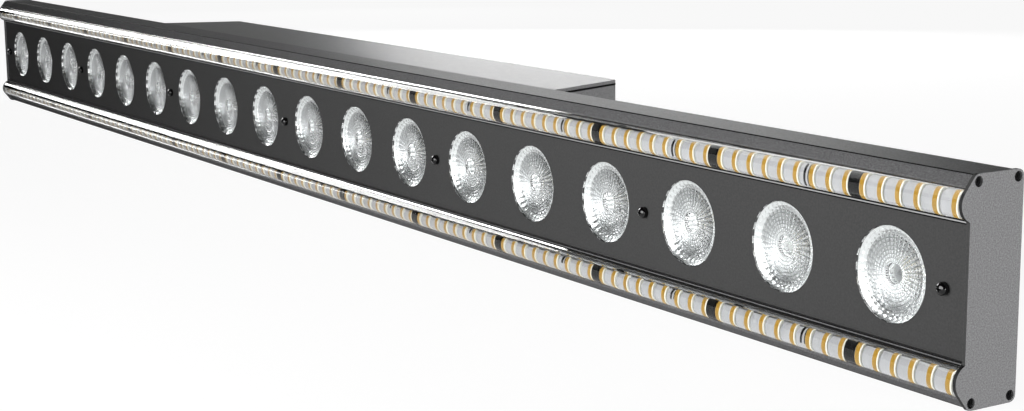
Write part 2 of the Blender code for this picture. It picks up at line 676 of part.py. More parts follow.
def make_safety_eye():
    """A bent steel wire loop with both legs through the rear wall and a collar on each."""
    bm = bmesh.new()
    straight = EYE_LEG + SHEET_THICKNESS + EYE_SHANK_INSIDE
    path = [(-EYE_HALF_SPAN, -straight + EYE_LEG)]
    path += arc((0, EYE_LEG), EYE_HALF_SPAN, 180, 0, 8)
    path.append((EYE_HALF_SPAN, -straight + EYE_LEG))
    rings = []
    for i, (x, y) in enumerate(path):
        before = path[max(i - 1, 0)]
        after = path[min(i + 1, len(path) - 1)]
        turn = math.atan2(after[1] - before[1], after[0] - before[0])
        verts = []
        for a, b in circle((0, 0), EYE_WIRE_RADIUS, 8):
            verts.append(bm.verts.new((x - a * math.sin(turn), y + a * math.cos(turn), b)))
        rings.append(verts)
    for low, high in zip(rings, rings[1:]):
        wall(bm, low, high)
    fill(bm, rings[0])
    fill(bm, rings[-1])
    bmesh.ops.recalc_face_normals(bm, faces=bm.faces)
    mesh = bpy.data.meshes.new("safety_eye")
    bm.to_mesh(mesh)
    bm.free()
    place("safety_eye", mesh, zinc, (0, BOX_REAR, EYE_HEIGHT))


def make_inside_parts():
    """The power supply on the tray's floor and the driver board on the tray's front wall."""
    inner_front = BOX_FRONT + SHEET_THICKNESS + SEAT_GAP
    floor = BOX_BOTTOM + SHEET_THICKNESS + SEAT_GAP
    length, depth, height = SUPPLY_SIZE
    middle = inner_front + depth / 2
    outline = rectangle((0, middle), length, depth)
    mesh = slab("power_supply", outline, floor, floor + height)
    supply = place("power_supply", mesh, brushed_metal)
    edge = supply.modifiers.new("folded_edges", "BEVEL")
    edge.width = SHEET_THICKNESS
    edge.segments = 1
    length, depth, height = DRIVER_BOARD_SIZE
    outline = rectangle((0, 0), length, height)
    parts = [
        (rectangle((x, 0), *DRIVER_CHIP_SIZE), depth + DRIVER_CHIP_RISE) for x in DRIVER_CHIP_OFFSETS
    ]
    coil = circle((DRIVER_COIL_OFFSET, 0), DRIVER_COIL_RADIUS, 12)
    parts.append((coil, depth + DRIVER_COIL_RISE))
    mesh = slab("driver_board", outline, 0, depth, (), parts)
    middle = BOX_BOTTOM + BOX_HEIGHT / 2
    place("driver_board", mesh, green_board, (DRIVER_BOARD_OFFSET, inner_front, middle), FACING_BACK)


def lug_outline():
    """Side view from the housing's back: a screwed plate that rises to a round pivot boss."""
    back = HOUSING_BACK + SEAT_GAP
    plate = back + LUG_PLATE_THICKNESS
    edge = LUG_PLATE_HEIGHT / 2
    neck = LUG_BOSS_RADIUS
    half = arc((PIVOT_BACK, 0), neck, 0, 90, 6)
    half += [(plate + LUG_FILLET, neck), (plate, neck + LUG_FILLET), (plate, edge), (back, edge)]
    return mirrored(half)


def bracket_outline():
    """The folded strap seen along Z: two ears and the foot, with bent corners."""
    inner = EAR_INSIDE
    outer = EAR_OUTSIDE
    bend = BRACKET_BEND_RADIUS
    front = -BRACKET_EAR_RADIUS
    far = FOOT_REACH
    inside = bend - BRACKET_THICKNESS
    right = [(inner, front), (outer, front)]
    right += arc((outer - bend, far - bend), bend, 0, 90, 4)
    hollow = arc((inner - inside, far - bend), inside, 90, 0, 2)
    left = [(-x, y) for x, y in reversed(right)]
    return right + left + [(-x, y) for x, y in reversed(hollow)] + hollow


def bracket_side():
    """The strap seen along X: ears round at the pivot, widening to the foot."""
    round_end = arc((0, 0), BRACKET_EAR_RADIUS, 90, 270, 10)
    beyond = FOOT_REACH + BRACKET_THICKNESS
    shoulder = CAP_HALF_HEIGHT + FOLD_CLEARANCE
    corner = BRACKET_BEND_RADIUS
    low = [(shoulder, FOLD_CLEARANCE - PIVOT_SETBACK), (shoulder + corner, -FOOT_BELOW_PIVOT)]
    high = [(shoulder + corner, FOOT_ABOVE_PIVOT), (shoulder, FOOT_ABOVE_PIVOT - corner)]
    return round_end + low + [(beyond, -FOOT_BELOW_PIVOT), (beyond, FOOT_ABOVE_PIVOT)] + high


def knob_outline():
    points = []
    for k in range(4 * KNOB_LOBES):
        turn = 2 * math.pi * k / (4 * KNOB_LOBES)
        radius = KNOB_RADIUS - KNOB_LOBE_DEPTH * (1 - math.cos(KNOB_LOBES * turn)) / 2
        points.append((radius * math.cos(turn), radius * math.sin(turn)))
    return points


def make_brackets():
    """A hinge lug screwed to the bar, a folded steel bracket round it and a knob on each ear."""
    bore = STUD_RADIUS + SEAT_GAP
    lug = slab(
        "bracket_lug",
        lug_outline(),
        -LUG_WIDTH / 2,
        LUG_WIDTH / 2,
        [circle((PIVOT_BACK, 0), bore, 12)],
    )
    low = -FOOT_BELOW_PIVOT - BRACKET_THICKNESS
    high = FOOT_ABOVE_PIVOT + BRACKET_THICKNESS
    strap = slab("bracket", bracket_outline(), low, high)
    side = slab("bracket_side", bracket_side(), -2 * LUG_WIDTH, 2 * LUG_WIDTH)
    pivot_hole = rod_mesh("pivot_hole", bore, 4 * LUG_WIDTH, 12)
    clamp_hole = rod_mesh("clamp_hole", CLAMP_HOLE_RADIUS, 8 * BRACKET_THICKNESS, 16)
    face = EAR_OUTSIDE + SEAT_GAP
    stud = circle((0, 0), STUD_RADIUS, 10)
    knob = slab("bracket_knob", knob_outline(), -face - KNOB_HEIGHT, -face, (), [(stud, -face + STUD_REACH)])
    for name, x in (("left", -BRACKET_OFFSET), ("right", BRACKET_OFFSET)):
        place(f"bracket_lug_{name}", lug, aluminium, (x, 0, 0), ALONG_BAR)
        pivot = (x, PIVOT_BACK, 0)
        bracket = place(f"bracket_{name}", strap, black_steel, pivot)
        cut(bracket, cutter(f"bracket_side_{name}", side, pivot, ALONG_BAR), "INTERSECT")
        across = (0, RIGHT_ANGLE, 0)
        cut(bracket, cutter(f"pivot_hole_{name}", pivot_hole, pivot, across))
        foot = (x, PIVOT_BACK + FOOT_REACH, 0)
        cut(bracket, cutter(f"clamp_hole_{name}", clamp_hole, foot, FACING_FRONT))
        inward = (RIGHT_ANGLE, 0, RIGHT_ANGLE)
        outward = (RIGHT_ANGLE, 0, -RIGHT_ANGLE)
        place(f"bracket_knob_{name}_1", knob, black_plastic, pivot, inward)
        place(f"bracket_knob_{name}_2", knob, black_plastic, pivot, outward)


clear_scene()
fixture = bpy.data.objects.new("fixture", None)
bpy.context.collection.objects.link(fixture)
fixture.location = (0, -(FRONT_END + REAR_END) / 2, CAP_HALF_HEIGHT)

powder_coat = finish("grey_powder_coat", (0.055, 0.056, 0.058), 0.5)
panel_coat = finish("panel_coat", (0.045, 0.046, 0.048), 0.55)
black_steel = finish("blackened_steel", (0.01, 0.01, 0.01), 0.35, 0.6)
aluminium = finish("anodised_aluminium", (0.05, 0.05, 0.052), 0.4, 0.8)
brushed_metal = finish("folded_aluminium", (0.6, 0.6, 0.6), 0.4, 1.0)
zinc = finish("nickelled_zinc", (0.45, 0.45, 0.46), 0.3, 1.0)
clear_acrylic = finish("clear_acrylic", (0.95, 0.95, 0.95), 0.05, 0.0, 1.0)
smoked_acrylic = finish("smoked_acrylic", (0.01, 0.012, 0.02), 0.08)
white_board = finish("white_solder_mask", (0.8, 0.8, 0.78), 0.5)
green_board = finish("green_solder_mask", (0.02, 0.12, 0.05), 0.5)
black_rubber = finish("silicone_rubber", (0.02, 0.02, 0.02), 0.7)
black_plastic = finish("glass_filled_nylon", (0.015, 0.015, 0.015), 0.5)
blue_plastic = finish("blue_nylon", (0.02, 0.08, 0.35), 0.4)
grey_plastic = finish("grey_nylon", (0.4, 0.4, 0.4), 0.4)

make_housing()
make_end_caps()
make_front_panel()
make_lenses()
make_led_board()
make_rods_and_strips()
make_control_box()
make_controls()
make_sockets()
make_safety_eye()
make_inside_parts()
make_brackets()
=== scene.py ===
"""Looks of a 1 m stage wash bar: an extruded housing with eighteen clear lenses between two
clear rods, a sheet-metal control box behind it and two folding brackets."""

import math

import bmesh
import bpy
from mathutils import Matrix, Vector


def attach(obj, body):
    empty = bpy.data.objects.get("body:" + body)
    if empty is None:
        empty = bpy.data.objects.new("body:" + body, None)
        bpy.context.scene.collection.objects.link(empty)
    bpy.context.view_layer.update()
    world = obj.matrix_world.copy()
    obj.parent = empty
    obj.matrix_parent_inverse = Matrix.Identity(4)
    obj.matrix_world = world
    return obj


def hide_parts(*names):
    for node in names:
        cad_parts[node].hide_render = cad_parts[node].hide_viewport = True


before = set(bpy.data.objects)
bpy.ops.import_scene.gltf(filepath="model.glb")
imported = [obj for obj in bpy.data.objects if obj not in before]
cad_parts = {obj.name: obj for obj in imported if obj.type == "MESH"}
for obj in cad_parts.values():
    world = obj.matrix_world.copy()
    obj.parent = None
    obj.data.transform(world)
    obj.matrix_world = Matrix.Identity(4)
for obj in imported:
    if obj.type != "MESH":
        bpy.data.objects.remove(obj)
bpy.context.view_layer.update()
scene = bpy.context.scene

# Camera: a long lens at the height of a table, close to the bar's right end, so that the bar
# runs away from it to the left. Place, turn and field were fitted to the photograph.
CAMERA_PLACE = (0.90811, -0.46588, 0.17138)
CAMERA_YAW = 1.01291
CAMERA_PITCH = -0.17960
CAMERA_ROLL = -0.00905
CAMERA_LENS_MM = 64.774
CAMERA_SENSOR_MM = 36.0

camera_data = bpy.data.cameras.new("camera")
camera_data.lens = CAMERA_LENS_MM
camera_data.sensor_width = CAMERA_SENSOR_MM
camera_data.clip_start = 0.01
camera = bpy.data.objects.new("camera", camera_data)
scene.collection.objects.link(camera)
aim = Matrix.Rotation(CAMERA_YAW, 4, "Z") @ Matrix.Rotation(math.pi / 2 + CAMERA_PITCH, 4, "X")
camera.matrix_world = Matrix.Translation(CAMERA_PLACE) @ aim @ Matrix.Rotation(CAMERA_ROLL, 4, "Z")
scene.camera = camera
scene.view_settings.view_transform = "Standard"


# Floor: one sheet of white studio paper. It is drawn white where the camera, glass or gloss
# looks at it, and keeps a faint soft shadow under the bar.
FLOOR_HALF_SIZE = 30.0
PAPER_WHITE = "#F4F4F4"
SHADOW_TONE = "#6A6A6A"
PAPER_GLOW = 0.93
GLOSS_SHARE = 0.3


def colour(code):
    """A six-digit sRGB hex colour as linear RGBA."""
    parts = [int(code[i : i + 2], 16) / 255 for i in (1, 3, 5)]
    linear = [p / 12.92 if p <= 0.04045 else ((p + 0.055) / 1.055) ** 2.4 for p in parts]
    return (*linear, 1.0)


def add(tree, kind, inputs=None, **settings):
    """A node with its settings; inputs gives each socket a value or another node's output."""
    node = tree.nodes.new(kind)
    for name, value in settings.items():
        setattr(node, name, value)
    for key, value in (inputs or {}).items():
        if isinstance(value, bpy.types.NodeSocket):
            tree.links.new(value, node.inputs[key])
        else:
            node.inputs[key].default_value = value
    return node


def new_material(name):
    """An empty node material and its tree."""
    material = bpy.data.materials.new(name)
    material.use_nodes = True
    material.node_tree.nodes.clear()
    return material, material.node_tree


paper, tree = new_material("studio_paper")
lit = add(tree, "ShaderNodeBsdfDiffuse", {"Color": colour(PAPER_WHITE)})
glow = add(tree, "ShaderNodeEmission", {"Color": (1, 1, 1, 1), "Strength": PAPER_GLOW})
shade = add(tree, "ShaderNodeBsdfDiffuse", {"Color": colour(SHADOW_TONE)})
shown = add(tree, "ShaderNodeAddShader", {0: glow.outputs[0], 1: shade.outputs[0]})
rays = add(tree, "ShaderNodeLightPath").outputs
shares = {0: rays["Is Glossy Ray"], 1: GLOSS_SHARE, 2: rays["Is Camera Ray"]}
looked = add(tree, "ShaderNodeMath", shares, operation="MULTIPLY_ADD").outputs[0]
seen = add(tree, "ShaderNodeMath", {0: looked, 1: rays["Is Transmission Ray"]}, use_clamp=True)
mixed = add(tree, "ShaderNodeMixShader", {0: seen.outputs[0], 1: lit.outputs[0], 2: shown.outputs[0]})
add(tree, "ShaderNodeOutputMaterial", {"Surface": mixed.outputs[0]})
floor_mesh = bpy.data.meshes.new("floor")
half = FLOOR_HALF_SIZE
corners = [(-half, -half, 0), (half, -half, 0), (half, half, 0), (-half, half, 0)]
floor_mesh.from_pydata(corners, [], [(0, 1, 2, 3)])
floor = bpy.data.objects.new("floor", floor_mesh)
floor.data.materials.append(paper)
scene.collection.objects.link(floor)

# Light: a dim room that the camera sees as white and that glass sees as pale flats with darker
# gaps. A soft key stands low at the front right, a flat box lights the right end cap, two low
# boxes behind the bar light its top, and a gloss card off the left end draws the rods' shine.
ROOM_STRENGTH = 0.02
GLOSS_STRENGTH = 0.02
FLATS_DARK = 0.64
FLATS_BRIGHT = 1.0
FLATS_SCALE = 5.0
FLATS_RANGE = (0.42, 0.56)
GLOSS_ONLY = "rod_box"
# For each box: its place, the point it faces, its width and height, and its power.
SOFTBOXES = {
    "key_box": ((0.38, -0.66, 0.15), (0.26, 0.0, 0.05), (0.8, 0.4), 4.2),
    "cap_box": ((2.3, 0.30, 0.13), (0.5, 0.0, 0.04), (1.4, 0.3), 36.0),
    "rod_box": ((-2.5, -0.70, 1.04), (-0.1, 0.0, 0.05), (1.08, 1.3), 27.0),
    "back_box": ((-0.70, 0.70, 0.25), (0.20, -0.03, 0.077), (0.62, 0.4), 4.2),
    "left_box": ((-1.20, 0.60, 0.22), (0.0, 0.0, 0.077), (0.6, 0.34), 0.28),
}

world = bpy.data.worlds.new("studio")
scene.world = world
world.use_nodes = True
tree = world.node_tree
tree.nodes.clear()
rays = add(tree, "ShaderNodeLightPath").outputs
toward = add(tree, "ShaderNodeTexCoord").outputs["Generated"]
cloud = add(tree, "ShaderNodeTexNoise", {"Vector": toward, "Scale": FLATS_SCALE, "Detail": 1.0})
levels = {1: FLATS_RANGE[0], 2: FLATS_RANGE[1], 3: FLATS_DARK, 4: FLATS_BRIGHT}
flats = add(tree, "ShaderNodeMapRange", {0: cloud.outputs["Fac"], **levels})
through = add(
    tree, "ShaderNodeMapRange", {0: rays["Is Transmission Ray"], 3: ROOM_STRENGTH, 4: flats.outputs[0]}
)
gloss = add(
    tree, "ShaderNodeMapRange", {0: rays["Is Glossy Ray"], 3: through.outputs[0], 4: GLOSS_STRENGTH}
)
strength = add(tree, "ShaderNodeMapRange", {0: rays["Is Camera Ray"], 3: gloss.outputs[0], 4: 1.0})
room = add(tree, "ShaderNodeBackground", {"Color": (1, 1, 1, 1), "Strength": strength.outputs[0]})
add(tree, "ShaderNodeOutputWorld", {"Surface": room.outputs[0]})

for name, (spot, target, size, power) in SOFTBOXES.items():
    lamp = bpy.data.lights.new(name, "AREA")
    lamp.shape = "ELLIPSE"
    lamp.size, lamp.size_y = size
    lamp.energy = power
    box = bpy.data.objects.new(name, lamp)
    box.location = spot
    box.rotation_euler = (Vector(target) - Vector(spot)).to_track_quat("-Z", "Y").to_euler()
    scene.collection.objects.link(box)
    box.visible_diffuse = name != GLOSS_ONLY


# Housing and end caps: one aluminium extrusion closed by two cut plates, all in a dark grey
# textured polyester powder coat. The grain gives the eye a fine sparkle of light and dark.
COAT_DARK = "#6A6A6B"
COAT_LIGHT = "#909091"
COAT_GRAIN_MM = 0.5
COAT_PEEL_MM = 2.4
COAT_ROUGHNESS = 0.55
COAT_ROUGHNESS_SPREAD = 0.06
COAT_SPECK_RANGE = (0.35, 0.7)
COAT_RELIEF = 0.35
COAT_GLOSS = 0.12
RELIEF_HEIGHT = 0.0001
EDGE_BREAK = 0.00022
MERGE_DISTANCE = 1e-6
FLAT_DEGREES = 0.5


def powder_coat(name, dark, light, grain_mm, roughness, relief_strength, gloss=0.5):
    """Powder coat: grain in colour, roughness and height, over a slow orange peel."""
    material, tree = new_material(name)
    place = add(tree, "ShaderNodeTexCoord").outputs["Object"]
    grain = add(
        tree,
        "ShaderNodeTexNoise",
        {"Vector": place, "Scale": 1000 / grain_mm, "Detail": 3.0, "Roughness": 0.6},
    ).outputs["Fac"]
    peel = add(
        tree, "ShaderNodeTexNoise", {"Vector": place, "Scale": 1000 / COAT_PEEL_MM, "Detail": 2.0}
    ).outputs["Fac"]
    bare, full = COAT_SPECK_RANGE
    speck = add(tree, "ShaderNodeMapRange", {0: grain, 1: bare, 2: full}).outputs[0]
    tint = add(
        tree, "ShaderNodeMixRGB", {"Fac": speck, "Color1": colour(dark), "Color2": colour(light)}
    )
    least = roughness - COAT_ROUGHNESS_SPREAD
    most = roughness + COAT_ROUGHNESS_SPREAD
    rough = add(tree, "ShaderNodeMapRange", {0: peel, 3: least, 4: most})
    height = add(tree, "ShaderNodeMath", {0: grain, 1: peel}, operation="ADD").outputs[0]
    relief = add(
        tree,
        "ShaderNodeBump",
        {"Height": height, "Strength": relief_strength, "Distance": RELIEF_HEIGHT},
    )
    shader = add(
        tree,
        "ShaderNodeBsdfPrincipled",
        {
            "Base Color": tint.outputs[0],
            "Roughness": rough.outputs[0],
            "Specular IOR Level": gloss,
            "Normal": relief.outputs[0],
        },
    )
    add(tree, "ShaderNodeOutputMaterial", {"Surface": shader.outputs[0]})
    return material


def piece_of(name, mesh, body="fixture", stands_for=()):
    """Puts a finished mesh in the scene as a piece of that body."""
    piece = bpy.data.objects.new(name, mesh)
    scene.collection.objects.link(piece)
    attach(piece, body)
    if stands_for:
        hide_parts(*stands_for)
    return piece


def plain_mesh(holder):
    """The holder's mesh with its modifiers made real; the holder is removed."""
    graph = bpy.context.evaluated_depsgraph_get()
    mesh = bpy.data.meshes.new_from_object(holder.evaluated_get(graph))
    bpy.data.objects.remove(holder)
    return mesh


def holder_of(mesh):
    """A passing object that carries a mesh while modifiers work on it."""
    holder = bpy.data.objects.new("holder", mesh)
    scene.collection.objects.link(holder)
    return holder


def softened(mesh, width, sharp=35, rounds=2):
    """Breaks a mesh's sharp edges with small rounds and shades the faces smooth."""
    mesh.shade_smooth()
    holder = holder_of(mesh)
    bevel = holder.modifiers.new("edge_break", "BEVEL")
    bevel.width = width
    bevel.segments = rounds
    bevel.limit_method = "ANGLE"
    bevel.angle_limit = math.radians(sharp)
    bevel.harden_normals = True
    weighted = holder.modifiers.new("weighted_normals", "WEIGHTED_NORMAL")
    weighted.weight = 100
    weighted.keep_sharp = True
    return plain_mesh(holder)


def dressed(node, material, edge=EDGE_BREAK, body="fixture", sharp=35):
    """A copy of a CAD solid with flat faces joined and its edges broken, in its finish."""
    bm = bmesh.new()
    bm.from_mesh(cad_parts[node].data)
    bmesh.ops.remove_doubles(bm, verts=bm.verts, dist=MERGE_DISTANCE)
    flat = math.radians(FLAT_DEGREES)
    bmesh.ops.dissolve_limit(bm, angle_limit=flat, verts=bm.verts, edges=bm.edges)
    mesh = bpy.data.meshes.new(node)
    bm.to_mesh(mesh)
    bm.free()
    mesh = softened(mesh, edge, sharp)
    mesh.materials.clear()
    mesh.materials.append(material)
    return piece_of(f"{node}_skin", mesh, body, (node,))


grey_coat = powder_coat(
    "textured_powder_coat",
    COAT_DARK,
    COAT_LIGHT,
    COAT_GRAIN_MM,
    COAT_ROUGHNESS,
    COAT_RELIEF,
    COAT_GLOSS,
)
for node in ("housing_extrusion", "end_cap_left", "end_cap_right"):
    dressed(node, grey_coat)

# The slanted noses over the rods lie in the spray's shadow: the coat there is dry and dull.
NOSE_SLANT = (0.55, 0.85)
DULL_ROUGHNESS = 0.7
DULL_GLOSS = 0.0

dull_coat = powder_coat(
    "dull_powder_coat",
    COAT_DARK,
    COAT_LIGHT,
    COAT_GRAIN_MM,
    DULL_ROUGHNESS,
    COAT_RELIEF,
    DULL_GLOSS,
)
mesh = bpy.data.objects["housing_extrusion_skin"].data
mesh.materials.append(dull_coat)
for face in mesh.polygons:
    if face.normal.y < 0 and NOSE_SLANT[0] < abs(face.normal.z) < NOSE_SLANT[1]:
        face.material_index = 1


# Front panel: 1.5 mm aluminium sheet, punched for the lenses and coated smooth and matt, which
# gives the eye a darker, more even tone than the textured housing round it.
PANEL_DARK = "#4E4E4E"
PANEL_LIGHT = "#565656"
PANEL_GRAIN_MM = 0.8
PANEL_ROUGHNESS = 0.55
PANEL_RELIEF = 0.10
PANEL_GLOSS = 0.0
PANEL_PLACE = -0.0433
BAR_AXIS = 0.0385

# The panel's coat also serves as painted shade on the caps' rims and the tray's sloped ends.
panel_coat_and_shade = powder_coat(
    "smooth_panel_coat_and_painted_shade",
    PANEL_DARK,
    PANEL_LIGHT,
    PANEL_GRAIN_MM,
    PANEL_ROUGHNESS,
    PANEL_RELIEF,
    PANEL_GLOSS,
)
dressed("front_panel", panel_coat_and_shade, edge=0.00015)

# The caps' cut rims near the front are painted in the panel's darker coat, and black where a rim
# curves round a rod: painted shade on the cut edges.
RIM_SHADE_BLACK = "#0C0C0D"
RIM_ROUGHNESS = 0.35
RIM_DEPTH = 0.003
RIM_REACH = 0.0066
CAP_FACE_TURN = 0.3
ROD_CENTRE_DEPTH = 0.0012
ROD_CENTRE_RISE = 0.02885

rim_shade, tree = new_material("black_rim_painted_shade")
rim_shade_look = {"Base Color": colour(RIM_SHADE_BLACK), "Roughness": RIM_ROUGHNESS}
shader = add(tree, "ShaderNodeBsdfPrincipled", rim_shade_look)
add(tree, "ShaderNodeOutputMaterial", {"Surface": shader.outputs[0]})
for node in ("end_cap_left", "end_cap_right"):
    mesh = bpy.data.objects[f"{node}_skin"].data
    mesh.materials.append(panel_coat_and_shade)
    mesh.materials.append(rim_shade)
    for face in mesh.polygons:
        if abs(face.normal.x) > CAP_FACE_TURN or face.center.y > PANEL_PLACE + RIM_DEPTH:
            continue
        depth = face.center.y - PANEL_PLACE - ROD_CENTRE_DEPTH
        rise = abs(face.center.z - BAR_AXIS) - ROD_CENTRE_RISE
        face.material_index = 2 if math.hypot(depth, rise) < RIM_REACH else 1


# Panel screws: black zinc-plated pan heads with a cross recess, on the panel's middle line,
# one beyond each end of the lens row and one after every third lens.
LENS_COUNT = 18
LENS_PITCH = 0.055
LENSES_PER_SCREW = 3
INNER_SCREWS = LENS_COUNT // LENSES_PER_SCREW - 1
SCREW_PITCH = LENSES_PER_SCREW * LENS_PITCH
END_SCREW_PLACE = 0.4925
SCREW_RADIUS = 0.0023
SCREW_HEIGHT = 0.0026
SCREW_BRIM = 0.42
SCREW_UNDER = 0.0003
RECESS_HALF_LENGTH = 0.00135
RECESS_HALF_WIDTH = 0.00034
RECESS_DEPTH = 0.0013
RECESS_TAPER = 0.55
SCREW_BLACK = "#0B0B0C"
TONE_SPREAD = 0.1
FINISH_RELIEF = 0.06
SMOOTH_DEGREES = 38


def plain_finish(name, base, roughness, metallic=0.0, coat=0.0, grain_mm=1.0, spread=0.05, gloss=0.5):
    """A moulded, plated or painted finish whose roughness and tone vary slightly in patches."""
    material, tree = new_material(name)
    place = add(tree, "ShaderNodeTexCoord").outputs["Object"]
    patch = add(
        tree, "ShaderNodeTexNoise", {"Vector": place, "Scale": 1000 / grain_mm, "Detail": 4.0}
    ).outputs["Fac"]
    rough = add(tree, "ShaderNodeMapRange", {0: patch, 3: roughness - spread, 4: roughness + spread})
    tones = {0: patch, 3: 1 - TONE_SPREAD, 4: 1 + TONE_SPREAD}
    level = add(tree, "ShaderNodeMapRange", tones).outputs[0]
    tint = add(tree, "ShaderNodeHueSaturation", {"Color": colour(base), "Value": level})
    relief = add(
        tree,
        "ShaderNodeBump",
        {"Height": patch, "Strength": FINISH_RELIEF, "Distance": RELIEF_HEIGHT},
    )
    shader = add(
        tree,
        "ShaderNodeBsdfPrincipled",
        {
            "Base Color": tint.outputs[0],
            "Metallic": metallic,
            "Roughness": rough.outputs[0],
            "Coat Weight": coat,
            "Specular IOR Level": gloss,
            "Normal": relief.outputs[0],
        },
    )
    add(tree, "ShaderNodeOutputMaterial", {"Surface": shader.outputs[0]})
    return material


def lathe(profile, steps, close=False):
    """A surface of revolution about the part's own Z from (radius, height) points."""
    bm = bmesh.new()
    verts = [bm.verts.new((r, 0, z)) for r, z in profile]
    edges = [bm.edges.new(pair) for pair in zip(verts, verts[1:])]
    if close:
        edges.append(bm.edges.new((verts[-1], verts[0])))
    axis = {"axis": (0, 0, 1), "cent": (0, 0, 0), "angle": 2 * math.pi, "steps": steps}
    bmesh.ops.spin(bm, geom=verts + edges, **axis)
    bmesh.ops.remove_doubles(bm, verts=bm.verts, dist=1e-7)
    bmesh.ops.recalc_face_normals(bm, faces=bm.faces)
    return bm


def as_mesh(bm, name, material, turn=None):
    """Ends a bmesh: turned about the origin if asked, shaded smooth between sharp edges."""
    if turn is not None:
        bmesh.ops.transform(bm, matrix=turn, verts=bm.verts)
    mesh = bpy.data.meshes.new(name)
    bm.to_mesh(mesh)
    bm.free()
    mesh.shade_smooth()
    mesh.set_sharp_from_angle(angle=math.radians(SMOOTH_DEGREES))
    mesh.materials.append(material)
    return mesh


def row_tree():
    """Geometry nodes: copies of the incoming shape along a straight line, made real."""
    tree = bpy.data.node_groups.new("row", "GeometryNodeTree")
    sockets = tree.interface
    kinds = {
        "Geometry": "NodeSocketGeometry",
        "Count": "NodeSocketInt",
        "First": "NodeSocketVector",
        "Step": "NodeSocketVector",
        "Material": "NodeSocketMaterial",
    }
    for name, kind in kinds.items():
        sockets.new_socket(name, in_out="INPUT", socket_type=kind)
    sockets.new_socket("Geometry", in_out="OUTPUT", socket_type="NodeSocketGeometry")
    given = add(tree, "NodeGroupInput").outputs
    line = add(
        tree,
        "GeometryNodeMeshLine",
        {"Count": given["Count"], "Start Location": given["First"], "Offset": given["Step"]},
    )
    copies = add(
        tree,
        "GeometryNodeInstanceOnPoints",
        {"Points": line.outputs[0], "Instance": given["Geometry"]},
    )
    solid = add(tree, "GeometryNodeRealizeInstances", {0: copies.outputs[0]})
    painted = add(
        tree, "GeometryNodeSetMaterial", {0: solid.outputs[0], "Material": given["Material"]}
    )
    add(tree, "NodeGroupOutput", {0: painted.outputs[0]})
    return tree


ROW = row_tree()


def row(shape, count, first, step):
    """One plain mesh of the shape repeated along a line, in its own material."""
    values = {"Count": count, "First": first, "Step": step, "Material": shape.materials[0]}
    holder = holder_of(shape)
    modifier = holder.modifiers.new("row", "NODES")
    modifier.node_group = ROW
    for socket in ROW.interface.items_tree:
        if socket.in_out == "INPUT" and socket.name in values:
            modifier[socket.identifier] = values[socket.name]
    return plain_mesh(holder)


def joined(name, *meshes):
    """One mesh from several, which keeps their materials."""
    bm = bmesh.new()
    materials = []
    for mesh in meshes:
        material = mesh.materials[0]
        if material not in materials:
            materials.append(material)
        known = len(bm.faces)
        bm.from_mesh(mesh)
        bm.faces.ensure_lookup_table()
        for face in bm.faces[known:]:
            face.material_index = materials.index(material)
    result = bpy.data.meshes.new(name)
    bm.to_mesh(result)
    bm.free()
    for material in materials:
        result.materials.append(material)
    return result


FACE_FRONT = Matrix.Rotation(math.pi / 2, 4, "X")
screw_black = plain_finish(
    "black_plated_screw", SCREW_BLACK, 0.2, metallic=0.6, coat=1.0, grain_mm=0.7
)


def quarter_turns(steps):
    """Evenly spaced angles from zero to a right angle."""
    return [math.pi / 2 * k / steps for k in range(steps + 1)]


def pan_head():
    """A pan head with a cross recess, its seat at height 0, pointing up the part's own Z."""
    top = SCREW_HEIGHT
    dome = [
        (SCREW_RADIUS * math.sin(a), top * (SCREW_BRIM + (1 - SCREW_BRIM) * math.cos(a)))
        for a in quarter_turns(9)
    ]
    bm = lathe([*dome, (SCREW_RADIUS, 0), (0, 0)], 40)
    head = holder_of(as_mesh(bm, "head", screw_black))
    cross = bmesh.new()
    arm = (RECESS_HALF_LENGTH, RECESS_HALF_WIDTH)
    for wide, deep in (arm, arm[::-1]):
        made = bmesh.ops.create_cube(cross, size=2.0)["verts"]
        bmesh.ops.scale(cross, vec=(wide, deep, RECESS_DEPTH), verts=made)
        bmesh.ops.translate(cross, vec=(0, 0, top), verts=made)
        for vert in made:
            if vert.co.z < top:
                vert.co.x *= RECESS_TAPER
                vert.co.y *= RECESS_TAPER
    tool = holder_of(as_mesh(cross, "cross", screw_black))
    cut = head.modifiers.new("recess", "BOOLEAN")
    cut.operation = "DIFFERENCE"
    cut.object = tool
    cut.solver = "EXACT"
    cut.use_self = True
    mesh = plain_mesh(head)
    bpy.data.objects.remove(tool)
    mesh.materials.clear()
    bm = bmesh.new()
    bm.from_mesh(mesh)
    return as_mesh(bm, "pan_head", screw_black, FACE_FRONT)


head = pan_head()
seat = PANEL_PLACE - SCREW_UNDER
first = (-(INNER_SCREWS - 1) / 2 * SCREW_PITCH, seat, BAR_AXIS)
inner = row(head.copy(), INNER_SCREWS, first, (SCREW_PITCH, 0, 0))
ends = row(head, 2, (-END_SCREW_PLACE, seat, BAR_AXIS), (2 * END_SCREW_PLACE, 0, 0))
screws = [f"panel_screw_{k}" for k in range(1, INNER_SCREWS + 3)]
piece_of("panel_screw_heads", joined("panel_screws", inner, ends), stands_for=screws)


# Light rods: clear acrylic extrusions, round at the front and flat at the back, that magnify
# the small lamps behind them. Polished, so the eye sees a long shine along their upper half.
ROD_SIDES = {"upper": 1, "lower": -1}
ROD_CURVE = 0.0058
ROD_HALF_HEIGHT = 0.00485
ROD_BACK = 0.0048
ROD_HALF_LENGTH = 0.5018
ACRYLIC_IOR = 1.49
ROD_TINT = "#FCFDFC"
HAZE_PER_METRE = 60.0
HAZE_SPREAD = 0.02


